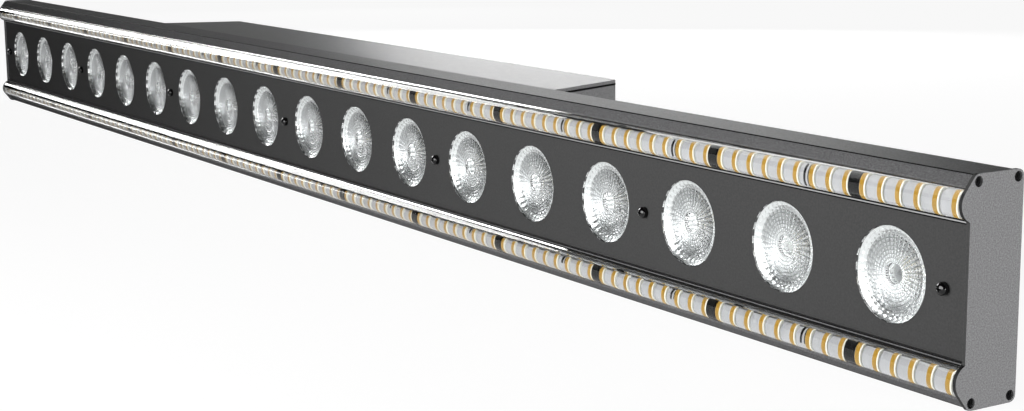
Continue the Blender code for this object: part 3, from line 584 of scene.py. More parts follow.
def clear_plastic(name, tint, roughness):
    """Solid clear plastic; shadows pass through it, so what lies behind is lit."""
    material, tree = new_material(name)
    place = add(tree, "ShaderNodeTexCoord").outputs["Object"]
    haze = add(tree, "ShaderNodeTexNoise", {"Vector": place, "Scale": HAZE_PER_METRE, "Detail": 3.0})
    spread = {0: haze.outputs["Fac"], 3: roughness, 4: roughness + HAZE_SPREAD}
    rough = add(tree, "ShaderNodeMapRange", spread)
    glass = add(
        tree,
        "ShaderNodeBsdfPrincipled",
        {
            "Base Color": colour(tint),
            "Roughness": rough.outputs[0],
            "IOR": ACRYLIC_IOR,
            "Transmission Weight": 1.0,
        },
    )
    through = add(tree, "ShaderNodeBsdfTransparent", {"Color": colour(tint)})
    shadow = add(tree, "ShaderNodeLightPath").outputs["Is Shadow Ray"]
    mixed = add(tree, "ShaderNodeMixShader", {0: shadow, 1: glass.outputs[0], 2: through.outputs[0]})
    add(tree, "ShaderNodeOutputMaterial", {"Surface": mixed.outputs[0]})
    return material


def bar_section(outline, half_length, name, material):
    """A bar along X with a closed (depth, rise) outline, at its place in the row frame."""
    bm = bmesh.new()
    ends = []
    for x in (-half_length, half_length):
        loop = [bm.verts.new((x, PANEL_PLACE + y, BAR_AXIS + z)) for y, z in outline]
        ends.append(loop)
        bm.faces.new(loop)
    for i, vert in enumerate(ends[0]):
        j = (i + 1) % len(outline)
        bm.faces.new((vert, ends[0][j], ends[1][j], ends[1][i]))
    bmesh.ops.recalc_face_normals(bm, faces=bm.faces)
    return as_mesh(bm, name, material)


def rod_outline(side, steps=48):
    """The rod's section: a round front between two flat sides, and a flat back."""
    reach = math.asin(ROD_HALF_HEIGHT / ROD_CURVE)
    turns = [reach * (2 * k / steps - 1) for k in range(steps + 1)]
    front = [(ROD_CENTRE_DEPTH - ROD_CURVE * math.cos(t), ROD_CURVE * math.sin(t)) for t in turns]
    outline = [*front, (ROD_BACK, ROD_HALF_HEIGHT), (ROD_BACK, -ROD_HALF_HEIGHT)]
    return [(y, side * ROD_CENTRE_RISE + z) for y, z in outline]


rod_acrylic = clear_plastic("clear_rod_acrylic", ROD_TINT, 0.0)
for name, side in ROD_SIDES.items():
    mesh = bar_section(rod_outline(side), ROD_HALF_LENGTH, "rod", rod_acrylic)
    piece_of(f"light_rod_{name}_skin", mesh, stands_for=(f"light_rod_{name}",))


# Painted shade and highlight on the front: black strips along the upper and the lower edge and two
# on each lip between panel and rod paint the shade in these gaps. The upper lip shows a pale grey
# strip between them, a painted highlight on its edge.
EDGE_SETBACK = 0.0024
EDGE_RISE = 0.0382
NOSE_FORWARD = 0.0020
NOSE_RISE = 0.0346
SHADE_LINE_START = 0.00015
SHADE_LINE_WIDTH = 0.00050
LIP_FACE = -0.0010
SHADE_STRIPS = ((0.02235, 0.02280), (0.02325, 0.02380))
SHADE_LINE_PROUD = 0.00003
SHADE_STRIP_PROUD = 0.00012
HIGHLIGHT_STRIP_PROUD = 0.00004
SHADE_BLACK = "#0E0E0F"
HIGHLIGHT_GREY = "#B4B4B5"

# Black paints the shade in the gaps; the pale grey paints a highlight on the lip's edge.
painted_shade_black = plain_finish("black_painted_shade", SHADE_BLACK, 0.6, grain_mm=0.6, gloss=0.1)
painted_highlight = plain_finish("grey_painted_highlight", HIGHLIGHT_GREY, 0.45, metallic=0.3, grain_mm=0.5)
length = math.hypot(EDGE_SETBACK + NOSE_FORWARD, EDGE_RISE - NOSE_RISE)
slope = Vector((-(EDGE_SETBACK + NOSE_FORWARD), NOSE_RISE - EDGE_RISE)) / length
across = Vector((slope.y, -slope.x))
painted_strips = []
for side in (1, -1):
    outline = []
    for along, out in ((0, -1), (0, 1), (1, 1), (1, -1)):
        spot = Vector((EDGE_SETBACK, EDGE_RISE)) + slope * (SHADE_LINE_START + along * SHADE_LINE_WIDTH)
        spot += across * out * SHADE_LINE_PROUD
        outline.append((spot.x, side * spot.y))
    painted_strips.append(bar_section(outline, ROD_HALF_LENGTH, "shade_line", painted_shade_black))
    edges = [(low, high, SHADE_STRIP_PROUD, painted_shade_black) for low, high in SHADE_STRIPS]
    if side > 0:
        edges.append((SHADE_STRIPS[0][1], SHADE_STRIPS[1][0], HIGHLIGHT_STRIP_PROUD, painted_highlight))
    for low, high, proud, material in edges:
        front = LIP_FACE - proud
        corners = [(front, low), (front, high), (LIP_FACE, high), (LIP_FACE, low)]
        outline = [(depth, side * rise) for depth, rise in corners]
        painted_strips.append(bar_section(outline, ROD_HALF_LENGTH, "shade_strip", material))
piece_of("front_shade_and_highlight", joined("front_shade_and_highlight", *painted_strips))


# Lamp strips: a white-masked circuit board behind each rod with 118 white lamp packages that
# have yellow phosphor windows, a black driver chip after every ninth lamp and two small
# resistors between one chip and the next.
STRIP_FACE = 0.0061
STRIP_THICKNESS = 0.0012
STRIP_HALF_WIDTH = 0.0035
LAMP_COUNT = 118
LAMP_FIRST = 0.4945
LAMP_PITCH = 0.00849
LAMP_WIDTH = 0.0028
LAMP_HEIGHT = 0.0057
LAMP_RISE = 0.0007
WINDOW_SIZE = (0.0020, 0.0001, 0.0051)
WINDOW_SHIFT = -0.00030
WINDOW_PROUD = 0.00005
CHIP_FIRST_CELL = 5.5
CHIP_CELLS = 9
CHIP_COUNT = 13
CHIP_SIZE = (0.0046, 0.0010, 0.0066)
RESISTOR_SIZE = (0.0006, 0.0004, 0.0012)
RESISTOR_CELL = 8.24
RESISTOR_RISE = {"upper": -0.0014, "lower": -0.0026}
RESISTOR_GAP = 0.0022
PAD_SIZE = (0.0016, 0.00005, 0.0006)
PAD_GAP = 0.0004
MASK_WHITE = "#A4A4A8"
LAMP_WHITE = "#DEDCD2"
PHOSPHOR = "#A07A1A"
CHIP_BLACK = "#070708"
PAD_TIN = "#C8C8CA"

mask_white = plain_finish("white_solder_mask", MASK_WHITE, 0.45, grain_mm=2.0)
lamp_white = plain_finish("white_lamp_body", LAMP_WHITE, 0.4)
phosphor = plain_finish("yellow_phosphor_gel", PHOSPHOR, 0.35, coat=0.4, grain_mm=0.3)
chip_black = plain_finish("black_epoxy_chip", CHIP_BLACK, 0.5, grain_mm=0.4, gloss=0.1)
pad_tin = plain_finish("tinned_pad", PAD_TIN, 0.3, metallic=1.0)


def block(size, material, name):
    """A block with its back on the board: width along X, rise towards -Y, height along Z."""
    wide, rise, tall = size
    bm = bmesh.new()
    bmesh.ops.create_cube(bm, size=1.0)
    bmesh.ops.scale(bm, vec=(wide, rise, tall), verts=bm.verts)
    bmesh.ops.translate(bm, vec=(0, -rise / 2, 0), verts=bm.verts)
    return as_mesh(bm, name, material)


for name, side in ROD_SIDES.items():
    z = BAR_AXIS + side * ROD_CENTRE_RISE
    face = PANEL_PLACE + STRIP_FACE
    low = side * ROD_CENTRE_RISE - STRIP_HALF_WIDTH
    high = side * ROD_CENTRE_RISE + STRIP_HALF_WIDTH
    back = STRIP_FACE + STRIP_THICKNESS
    outline = [(STRIP_FACE, low), (STRIP_FACE, high), (back, high), (back, low)]
    board = bar_section(outline, ROD_HALF_LENGTH, "strip", mask_white)
    step = (-LAMP_PITCH, 0, 0)
    lamp = block((LAMP_WIDTH, LAMP_RISE, LAMP_HEIGHT), lamp_white, "lamp")
    lamps = row(lamp, LAMP_COUNT, (LAMP_FIRST, face, z), step)
    window = block(WINDOW_SIZE, phosphor, "window")
    spot = (LAMP_FIRST + WINDOW_SHIFT, face - LAMP_RISE + WINDOW_PROUD, z)
    windows = row(window, LAMP_COUNT, spot, step)
    group = (-CHIP_CELLS * LAMP_PITCH, 0, 0)
    chip_x = LAMP_FIRST - CHIP_FIRST_CELL * LAMP_PITCH
    chips = row(block(CHIP_SIZE, chip_black, "chip"), CHIP_COUNT, (chip_x, face, z), group)
    marks = []
    for k in (0, 1):
        x = LAMP_FIRST - RESISTOR_CELL * LAMP_PITCH - k * RESISTOR_GAP
        spot = (x, face, z + RESISTOR_RISE[name])
        marks.append(row(block(RESISTOR_SIZE, chip_black, "mark"), CHIP_COUNT - 1, spot, group))
    pad = block(PAD_SIZE, pad_tin, "pad")
    pad_z = z - (LAMP_HEIGHT / 2 + PAD_GAP)
    pads = row(pad, LAMP_COUNT, (LAMP_FIRST, face, pad_z), step)
    mesh = joined("strip", board, lamps, windows, chips, *marks, pads)
    piece_of(f"led_strip_{name}_skin", mesh, stands_for=(f"led_strip_{name}",))


# Control box: a folded tray of 1.5 mm steel sheet closed by a flat cover, both in the grey
# coat, sprayed smoother than on the housing, so that their flat top shines at a low angle.
BOX_ROUGHNESS = 0.46
BOX_RELIEF = 0.2
BOX_GLOSS = 0.4

box_coat = powder_coat(
    "smooth_grey_coat", COAT_DARK, COAT_LIGHT, COAT_GRAIN_MM, BOX_ROUGHNESS, BOX_RELIEF, BOX_GLOSS
)
for node in ("control_box_tray", "control_box_cover"):
    dressed(node, box_coat)

# The tray's sloped ends look back and to the side, and have the panel's darker coat: painted shade
# on the faces turned from the light.
SLOPE_ASIDE = 0.2
SLOPE_BACK = 0.5
SLOPE_LEVEL = 0.1

tray = bpy.data.objects["control_box_tray_skin"].data
tray.materials.append(panel_coat_and_shade)
for face in tray.polygons:
    aside, back, up = face.normal
    if abs(aside) > SLOPE_ASIDE and back > SLOPE_BACK and abs(up) < SLOPE_LEVEL:
        face.material_index = 1

# A thin black sheet under the cover's edge is painted shade: it draws the dark gap line round the box.
COVER_SHADE_LOW = 0.0736
COVER_SHADE_HIGH = 0.0745
COVER_SHADE_PROUD = 0.00006
COVER_SHADE_MIDDLE = 0.002

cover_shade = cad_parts["control_box_cover"].data.copy()
cover_shade.materials.clear()
cover_shade.materials.append(painted_shade_black)
middle = (min(v.co.z for v in cover_shade.vertices) + max(v.co.z for v in cover_shade.vertices)) / 2
for vert in cover_shade.vertices:
    vert.co.z = COVER_SHADE_HIGH if vert.co.z > middle else COVER_SHADE_LOW
    vert.co.x += math.copysign(COVER_SHADE_PROUD, vert.co.x)
    vert.co.y += math.copysign(COVER_SHADE_PROUD, vert.co.y - COVER_SHADE_MIDDLE)
piece_of("cover_shade_line", cover_shade)


# Lenses: eighteen moulded clear collimators. A sloping rim, silvered on its wall, leads to a sunk
# face of pillows in rings round a clear window, their seams tinted grey as painted shade. The flank
# behind reflects totally, so it is shown as a mirror bowl; the lamp stands in its foot under a dome.
LENS_RADIUS = 0.01664
LENS_SKIN = 0.0004
LENS_SOFT = 0.0001
RIM_BACK = 0.0010
FACE_RADIUS = 0.0134
FACE_DEPTH = 0.0017
WINDOW_RADIUS = 0.0036
WINDOW_DEPTH = 0.0029
WINDOW_BULGE = 0.0003
WINDOW_STEP = 0.0003
POLE_RADIUS = 0.00001
PILLOW_RINGS = 7
PILLOW_STEPS = 3
PILLOWS_AROUND = 36
PILLOW_CUTS = 4
PILLOW_RISE = 0.00040
BOWL_COLLAR = (0.0166, 0.00106)
BOWL_RIM = (0.0160, 0.0017)
BOWL_FOOT = (0.0058, 0.0078)
BOWL_SAG = 0.0006
BOWL_SHELL = 0.0014
HOLDER_DEPTHS = (0.0086, 0.0092)
HOLDER_WIDTH = 0.0006
PLATE_GAP = 0.0001
PLATE_BACK = 0.0098
DOME_RADIUS = 0.0033
DOME_BASE = 0.0090
DOME_RISE = 0.0019
DOME_LIFT = 0.0001
DIE_SIZE = (0.0013, 0.0002, 0.0013)
DIE_SPREAD = 0.0008
LENS_TINT = "#FBFDFD"
SEAM_SHADE_GREY = "#A2A4A6"

lens_clear = clear_plastic("clear_lens_acrylic", LENS_TINT, 0.0)
# The pillows' seams are tinted grey: painted shade in the creases between the pillows.
lens_seam_shade = clear_plastic("grey_lens_seam_shade", SEAM_SHADE_GREY, 0.45)
lens_mirror = plain_finish("reflecting_lens_flank", "#FAFAFA", 0.26, metallic=1.0, spread=0.03)
holder_grey = plain_finish("grey_lens_holder", "#9A9A9C", 0.45)
lamp_nickel = plain_finish("bright_lamp_plate", "#E2E2E0", 0.30, metallic=0.4)
die_yellow = plain_finish("yellow_lamp_die", "#C9B27A", 0.3, coat=0.5, grain_mm=0.2)


def pillow(turn, step):
    """How far a shallow square pillow rises, 0 at its seams and 1 in its middle."""
    return math.sqrt(math.sin(math.pi * turn) * math.sin(math.pi * step))


def pillowed(profile, start, name, material, close=False):
    """A form turned about Y from (radius, depth) points; from the point numbered start on, its
    surface rises in as many rings of pillows as the lens has."""
    around = PILLOW_CUTS * PILLOWS_AROUND
    end = start + PILLOW_STEPS * PILLOW_RINGS
    bm = bmesh.new()
    loops = []
    for number, (r, depth) in enumerate(profile):
        loop = []
        for i in range(around):
            rise = 0.0
            if start <= number < end:
                step = ((number - start) % PILLOW_STEPS) / PILLOW_STEPS
                rise = PILLOW_RISE * pillow((i % PILLOW_CUTS) / PILLOW_CUTS, step)
            turn = 2 * math.pi * i / around
            loop.append(bm.verts.new((r * math.cos(turn), depth - rise, r * math.sin(turn))))
        loops.append(loop)
    if close:
        loops.append(loops[0])
    for number, (one, two) in enumerate(zip(loops, loops[1:])):
        for i in range(around):
            j = (i + 1) % around
            face = bm.faces.new((one[i], two[i], two[j], one[j]))
            on_seam = i % PILLOW_CUTS == 0 or (number - start) % PILLOW_STEPS == 0
            face.material_index = int(start <= number < end and on_seam)
    bmesh.ops.remove_doubles(bm, verts=bm.verts, dist=2 * POLE_RADIUS)
    bmesh.ops.recalc_face_normals(bm, faces=bm.faces)
    return as_mesh(bm, name, material)


def lens_front():
    """The clear front skin: window, pillowed face and rim, closed by a plain back."""
    window_steps = 4
    profile = [(POLE_RADIUS, WINDOW_DEPTH - WINDOW_BULGE)]
    for k in range(1, window_steps + 1):
        share = k / window_steps
        profile.append((WINDOW_RADIUS * share, WINDOW_DEPTH - WINDOW_BULGE * (1 - share**2)))
    inner = WINDOW_RADIUS + WINDOW_STEP
    profile.append((inner - LENS_SOFT, FACE_DEPTH + LENS_SOFT))
    start = len(profile)
    steps = PILLOW_STEPS * PILLOW_RINGS
    pitch = (FACE_RADIUS - inner) / steps
    profile += [(inner + pitch * k, FACE_DEPTH) for k in range(steps + 1)]
    profile.append((FACE_RADIUS + 3 * LENS_SOFT, FACE_DEPTH - LENS_SOFT / 2))
    profile += [(LENS_RADIUS - 4 * LENS_SOFT, LENS_SOFT), (LENS_RADIUS - LENS_SOFT, 0.0)]
    profile += [(LENS_RADIUS, 2 * LENS_SOFT), (LENS_RADIUS, RIM_BACK)]
    profile += [(LENS_RADIUS - LENS_SKIN, RIM_BACK), (FACE_RADIUS, FACE_DEPTH + LENS_SKIN)]
    profile.append((POLE_RADIUS, WINDOW_DEPTH + LENS_SKIN))
    return pillowed(profile, start, "lens_front", lens_clear)


def lens_bowl():
    """The flank as a thin faceted mirror shell, from the rim down to the lamp's foot plate."""
    steps = PILLOW_STEPS * PILLOW_RINGS
    front = [BOWL_COLLAR]
    for k in range(steps + 1):
        s = k / steps
        r = BOWL_RIM[0] + (BOWL_FOOT[0] - BOWL_RIM[0]) * s
        depth = BOWL_RIM[1] + (BOWL_FOOT[1] - BOWL_RIM[1]) * s
        front.append((r, depth + BOWL_SAG * math.sin(math.pi * s)))
    back = [(r, depth + BOWL_SHELL) for r, depth in (BOWL_FOOT, BOWL_RIM)]
    return pillowed([*front, *back], 1, "lens_bowl", lens_mirror, True)


def turned_piece(profile, name, material, steps=32, close=False):
    """A turned piece that faces the front."""
    return as_mesh(lathe(profile, steps, close), name, material, FACE_FRONT)


foot = BOWL_FOOT[0]
hole = foot - HOLDER_WIDTH
near, far = HOLDER_DEPTHS
holder_ring = turned_piece(
    [(foot, -near), (foot, -far), (hole, -far), (hole, -near)], "holder", holder_grey, close=True
)
plate_radius = hole - PLATE_GAP
plate = turned_piece(
    [(0, -PLATE_BACK), (plate_radius, -PLATE_BACK), (plate_radius, -DOME_BASE), (0, -DOME_BASE)],
    "plate",
    lamp_nickel,
)
dome_seat = DOME_LIFT - DOME_BASE
dome_arc = [
    (DOME_RADIUS * math.cos(a), dome_seat + DOME_RISE * math.sin(a)) for a in quarter_turns(10)
]
dome = turned_piece([*dome_arc, (0, dome_seat), (DOME_RADIUS, dome_seat)], "dome", lens_clear)
first = (-(LENS_COUNT - 1) / 2 * LENS_PITCH, PANEL_PLACE, BAR_AXIS)
step = (LENS_PITCH, 0, 0)
front = lens_front()
face_finishes = [
    2 if face.center.xz.length > LENS_RADIUS - LENS_SOFT else face.material_index
    for face in front.polygons
]
fronts = row(front, LENS_COUNT, first, step)
fronts.materials.append(lens_seam_shade)
fronts.materials.append(lens_mirror)
for k, face in enumerate(fronts.polygons):
    face.material_index = face_finishes[k % len(face_finishes)]
bowls = [row(shape, LENS_COUNT, first, step) for shape in (lens_bowl(), holder_ring, plate, dome)]
for x in (-DIE_SPREAD, DIE_SPREAD):
    for z in (-DIE_SPREAD, DIE_SPREAD):
        spot = (first[0] + x, PANEL_PLACE + DOME_BASE, BAR_AXIS + z)
        bowls.append(row(block(DIE_SIZE, die_yellow, "die"), LENS_COUNT, spot, step))
lenses = [f"lens_{k:02d}" for k in range(1, LENS_COUNT + 1)]
piece_of("lens_fronts", fronts, stands_for=lenses)
piece_of("lens_bowls", joined("bowls", *bowls))


# End cap screws: eight black countersunk screws with a round socket in each head, sunk in the caps'
# corner holes and driven into the ports of the extrusion.
CAP_SCREW_RADIUS = 0.0017
CAP_SCREW_FOOT = 0.0011
CAP_SCREW_CONE = 0.0004
CAP_SCREW_SEAT = 0.5019
CAP_SCREW_HEIGHT = 0.0005
CAP_SOCKET_RADIUS = 0.0008
CAP_SOCKET_DEPTH = 0.0003
CAP_SCREW_DEPTHS = (0.0022, 0.0198)
CAP_SCREW_RISE = 0.0360

sunk_black = plain_finish("black_oxide_screw", "#060607", 0.55, grain_mm=0.5, gloss=0.1)


def cap_screw(side):
    """One countersunk head whose face looks along the bar."""
    top = CAP_SCREW_HEIGHT
    bottom = top - CAP_SOCKET_DEPTH
    cone = [(0, 0), (CAP_SCREW_FOOT, 0), (CAP_SCREW_RADIUS, CAP_SCREW_CONE), (CAP_SCREW_RADIUS, top)]
    socket = [(CAP_SOCKET_RADIUS, top), (CAP_SOCKET_RADIUS, bottom), (0, bottom)]
    bm = lathe([*cone, *socket], 24)
    return as_mesh(bm, "cap_screw", sunk_black, Matrix.Rotation(side * math.pi / 2, 4, "Y"))


cap_screws = []
for side in (-1, 1):
    for depth in CAP_SCREW_DEPTHS:
        first = (side * CAP_SCREW_SEAT, PANEL_PLACE + depth, BAR_AXIS - CAP_SCREW_RISE)
        cap_screws.append(row(cap_screw(side), 2, first, (0, 0, 2 * CAP_SCREW_RISE)))
piece_of("end_cap_screws", joined("cap_screws", *cap_screws))


# Lamp board: the long aluminium-core board behind the lenses, with white solder mask on its
# face, held by the panel screws.
lamp_mask = plain_finish("white_board_mask", "#C9C9C6", 0.5, grain_mm=3.0)
dressed("led_board", lamp_mask, edge=0.0001)


# Menu: a smoked acrylic window over the display and four silicone keys in a row, on the rear
# wall. Each key has a dished top and a flange that holds it behind the sheet.
REAR_FACE = 0.025
WINDOW_SMOKE = "#2A2E33"
KEY_BLACK = "#17181A"
KEY_PLACES = (-0.022, -0.039, -0.056, -0.073)
KEY_PROFILE_MM = [(0, 1.45), (1.6, 1.5), (2.6, 1.68), (3.2, 1.8), (3.6, 1.66), (3.9, 1.3), (4.0, 0.9)]
KEY_PROFILE_MM += [(4.0, -1.8), (5.2, -1.8), (5.2, -3.0), (0, -3.0)]
FACE_BACK = Matrix.Rotation(math.pi, 4, "Z") @ FACE_FRONT

smoked_acrylic = clear_plastic("smoked_window_acrylic", WINDOW_SMOKE, 0.0)
dressed("display_window", smoked_acrylic, edge=0.00015)
key_rubber = plain_finish("black_silicone_key", KEY_BLACK, 0.6, grain_mm=0.5, gloss=0.35)
key_profile = [(r / 1000, z / 1000) for r, z in KEY_PROFILE_MM]
for number, x in enumerate(KEY_PLACES, 1):
    mesh = as_mesh(lathe(key_profile, 48), "key", key_rubber, FACE_BACK)
    mesh.transform(Matrix.Translation((x, REAR_FACE, BAR_AXIS)))
    solid = f"menu_button_{number}"
    piece_of(f"menu_key_{number}", mesh, f"button_{number}", (solid,))


# Circuit boards inside the box: green glass-epoxy boards, one with the display module and the
# key switches, one with the lamp driver's chips, coil and capacitors.
BOARD_GREEN = "#1E4A2E"
BOARD_FACE = 0.0176
BOARD_THICKNESS = 0.0016
MENU_BOARD_PLACE = -0.0055
MENU_BOARD_SIZE = (0.159, BOARD_THICKNESS, 0.038)
DISPLAY_PLACE = 0.034
MODULE_SIZE = (0.062, 0.0030, 0.020)
GLASS_SIZE = (0.058, 0.0008, 0.017)
SWITCH_SIZE = (0.0040, 0.0022, 0.0040)
STEM_RADIUS = 0.0012
STEM_HEIGHT = 0.0006
SPACER_PLACES = (-0.0826, 0.0716)
SPACER_RISE = 0.0166
SPACER_RADIUS = 0.0016
SPACER_HEIGHT = 0.0056
MENU_CHIP_WIDTHS = {-0.066: 0.006, -0.048: 0.009, -0.030: 0.005, -0.012: 0.004}
MENU_CHIP_HEIGHT = 0.0012
MENU_CHIP_DROP = 0.012
DRIVER_PLACE = (0.148, -0.0176, 0.0380)
DRIVER_BOARD_SIZE = (0.100, BOARD_THICKNESS, 0.056)
DRIVER_CHIP_PLACES = (0.025, 0.0)
DRIVER_CHIP_SIZE = (0.0120, 0.0048, 0.0220)
COIL_PLACE = -0.030
COIL_HOLE = 0.0030
COIL_RADIUS = 0.0080
COIL_HEIGHT = 0.0080
CAPACITOR_PLACES = ((0.040, 0.018), (0.040, 0.006), (-0.014, 0.019), (-0.014, -0.019))
CAPACITOR_RADIUS = 0.0040
CAPACITOR_HEIGHT = 0.0070
HEADER_PLACES = (-0.038, 0.020)
HEADER_DROP = 0.022
HEADER_SIZE = (0.0160, 0.0060, 0.0070)
POST_SOFT = 0.0004

board_green = plain_finish("green_solder_mask", BOARD_GREEN, 0.35, grain_mm=4.0)
glass_blue = plain_finish("blue_display_glass", "#14284F", 0.1, coat=0.6)
case_black = plain_finish("black_moulded_part", "#141415", 0.5, grain_mm=0.5)
spacer_brass = plain_finish("nickelled_brass_spacer", "#B9B2A0", 0.3, metallic=1.0)
can_aluminium = plain_finish("sleeved_capacitor", "#2A2F45", 0.35)
copper_wire = plain_finish("lacquered_copper_wire", "#8A4A22", 0.35, metallic=0.8, coat=0.5)


def block_to(spot, size, material, name):
    """A block that stands on a board and faces the back, its foot centred on the spot."""
    mesh = block(size, material, name)
    mesh.transform(Matrix.Translation(spot) @ Matrix.Rotation(math.pi, 4, "Z"))
    return mesh


def post_to(spot, radius, height, material, name, steps=20):
    """A round post that stands on a board and faces the back."""
    soft = min(POST_SOFT, radius / 4)
    profile = [(0, 0), (radius, 0), (radius, height - soft), (radius - soft, height), (0, height)]
    mesh = as_mesh(lathe(profile, steps), name, material, FACE_BACK)
    mesh.transform(Matrix.Translation(spot))
    return mesh


spot = (MENU_BOARD_PLACE, BOARD_FACE - BOARD_THICKNESS, BAR_AXIS)
menu_parts = [block_to(spot, MENU_BOARD_SIZE, board_green, "board")]
spot = (DISPLAY_PLACE, BOARD_FACE, BAR_AXIS)
menu_parts.append(block_to(spot, MODULE_SIZE, case_black, "module"))
spot = (DISPLAY_PLACE, BOARD_FACE + MODULE_SIZE[1], BAR_AXIS)
menu_parts.append(block_to(spot, GLASS_SIZE, glass_blue, "glass"))
for x in KEY_PLACES:
    menu_parts.append(block_to((x, BOARD_FACE, BAR_AXIS), SWITCH_SIZE, case_black, "switch"))
    spot = (x, BOARD_FACE + SWITCH_SIZE[1], BAR_AXIS)
    menu_parts.append(post_to(spot, STEM_RADIUS, STEM_HEIGHT, pad_tin, "stem"))
for x in SPACER_PLACES:
    for rise in (-SPACER_RISE, SPACER_RISE):
        spot = (x, BOARD_FACE, BAR_AXIS + rise)
        menu_parts.append(post_to(spot, SPACER_RADIUS, SPACER_HEIGHT, spacer_brass, "spacer", 6))
for x, wide in MENU_CHIP_WIDTHS.items():
    spot = (x, BOARD_FACE, BAR_AXIS - MENU_CHIP_DROP)
    menu_parts.append(block_to(spot, (wide, MENU_CHIP_HEIGHT, wide), case_black, "chip"))
mesh = joined("menu_board", *menu_parts)
piece_of("menu_board", mesh, stands_for=("control_board",))

x, base, z = DRIVER_PLACE
spot = (x, base - BOARD_THICKNESS, z)
driver_parts = [block_to(spot, DRIVER_BOARD_SIZE, board_green, "board")]
for shift in DRIVER_CHIP_PLACES:
    spot = (x + shift, base, z)
    driver_parts.append(block_to(spot, DRIVER_CHIP_SIZE, case_black, "driver_chip"))
coil_profile = [(COIL_HOLE, 0), (COIL_RADIUS, 0), (COIL_RADIUS, COIL_HEIGHT), (COIL_HOLE, COIL_HEIGHT)]
coil = as_mesh(lathe(coil_profile, 32, True), "coil", copper_wire, FACE_BACK)
coil.transform(Matrix.Translation((x + COIL_PLACE, base, z)))
driver_parts.append(coil)
for shift, rise in CAPACITOR_PLACES:
    spot = (x + shift, base, z + rise)
    can = post_to(spot, CAPACITOR_RADIUS, CAPACITOR_HEIGHT, can_aluminium, "capacitor")
    driver_parts.append(can)
for shift in HEADER_PLACES:
    spot = (x + shift, base, z - HEADER_DROP)
    driver_parts.append(block_to(spot, HEADER_SIZE, case_black, "header"))
mesh = joined("driver_circuit", *driver_parts)
piece_of("driver_circuit", mesh, stands_for=("driver_board",))


# Power supply: a bought supply in a folded bright aluminium case. The box hides it, so it keeps
# the plain form of its solid.
supply_metal = plain_finish("folded_bright_aluminium", "#B4B6B8", 0.35, metallic=1.0, grain_mm=6.0)
dressed("power_supply", supply_metal, edge=0.0004)


# Sockets: two round locking power sockets, blue for in and grey for out, and two signal sockets
# in nickelled zinc, each on a flange with two black screws. Contacts stand inside the bores.
SOCKET_FACE = 0.0283
BORE_DEPTH = 0.0130
CONTACT_CIRCLE = 0.0040
POWER_IN_BLUE = "#1D4C9C"
POWER_OUT_GREY = "#A3A6A8"
ZINC = "#A9A9A6"
FLANGE_SCREW_RADIUS = 0.0017
FLANGE_SCREW_FLATNESS = 0.7
FLANGE_SCREW_SPREAD = 0.0100
FLANGE_SCREW_RISE = 0.0123
# For each socket: its place, its slot, and its insert's and its contacts' radius and height.
SOCKETS = {
    "power_in_socket": (0.176, "power_in_nylon", (0.0058, 0.0095), (0.0014, 0.0098)),
    "power_out_socket": (0.136, "power_out_nylon", (0.0058, 0.0095), (0.0014, 0.0098)),
    "dmx_in_socket": (-0.136, "socket_metal", (0.0080, 0.0012), (0.0010, 0.0090)),
    "dmx_out_socket": (-0.176, "socket_metal", (0.0070, 0.0100), (0.0010, 0.0101)),
}

nylon_blue = plain_finish("blue_glass_filled_nylon", POWER_IN_BLUE, 0.4, grain_mm=0.6)
nylon_grey = plain_finish("grey_glass_filled_nylon", POWER_OUT_GREY, 0.4, grain_mm=0.6)
zinc = plain_finish("nickelled_die_cast_zinc", ZINC, 0.3, metallic=1.0, grain_mm=1.5)
gold = plain_finish("gold_plated_contact", "#D2A84A", 0.25, metallic=1.0)
socket_finishes = {"power_in_nylon": nylon_blue, "power_out_nylon": nylon_grey, "socket_metal": zinc}


def head_behind(name, wide=1.0, tall=1.0):
    """A pan head that faces the back, its radius and height scaled by these shares."""
    bm = bmesh.new()
    bm.from_mesh(head)
    bmesh.ops.scale(bm, vec=(wide, tall, wide), verts=bm.verts)
    return as_mesh(bm, name, screw_black, Matrix.Rotation(math.pi, 4, "Z"))


def flange_screws(x):
    """Two pan heads in opposite corners of a socket's flange."""
    scale = FLANGE_SCREW_RADIUS / SCREW_RADIUS
    shape = head_behind("flange_screw", scale, scale * FLANGE_SCREW_FLATNESS)
    first = (x - FLANGE_SCREW_SPREAD, SOCKET_FACE, BAR_AXIS + FLANGE_SCREW_RISE)
    return row(shape, 2, first, (2 * FLANGE_SCREW_SPREAD, 0, -2 * FLANGE_SCREW_RISE))


for node, (x, slot, insert, contact) in SOCKETS.items():
    dressed(node, socket_finishes[slot], edge=0.0003, sharp=45)
    depth = SOCKET_FACE - BORE_DEPTH
    inside = [flange_screws(x), post_to((x, depth, BAR_AXIS), *insert, case_black, "insert", 32)]
    for turn in (90, 210, 330):
        a = math.radians(turn)
        spot = (x + CONTACT_CIRCLE * math.cos(a), depth, BAR_AXIS + CONTACT_CIRCLE * math.sin(a))
        inside.append(post_to(spot, *contact, gold, "contact", 16))
    piece_of(f"{node}_inside", joined("inside", *inside))

# The signal outlet's push latch: a black zinc tongue above the bore, pressed with a finger.
latch_black = plain_finish("black_zinc_latch", "#1A1A1B", 0.4, metallic=0.5)
dressed("dmx_out_latch", latch_black, edge=0.0002, body="latch")


# Safety eye: bent 4.4 mm steel wire, nickelled, with both legs through the rear wall and a
# hexagon nut on each.
EYE_HALF_SPAN = 0.0100
EYE_WIRE_RADIUS = 0.0022
EYE_LEG = 0.0060
EYE_RISE = 0.0645
EYE_INSIDE = 0.0065
NUT_RADIUS = 0.0041
NUT_HEIGHT = 0.0018
NUT_BORE = 0.0024
NUT_CHAMFER = (0.0005, 0.0003)


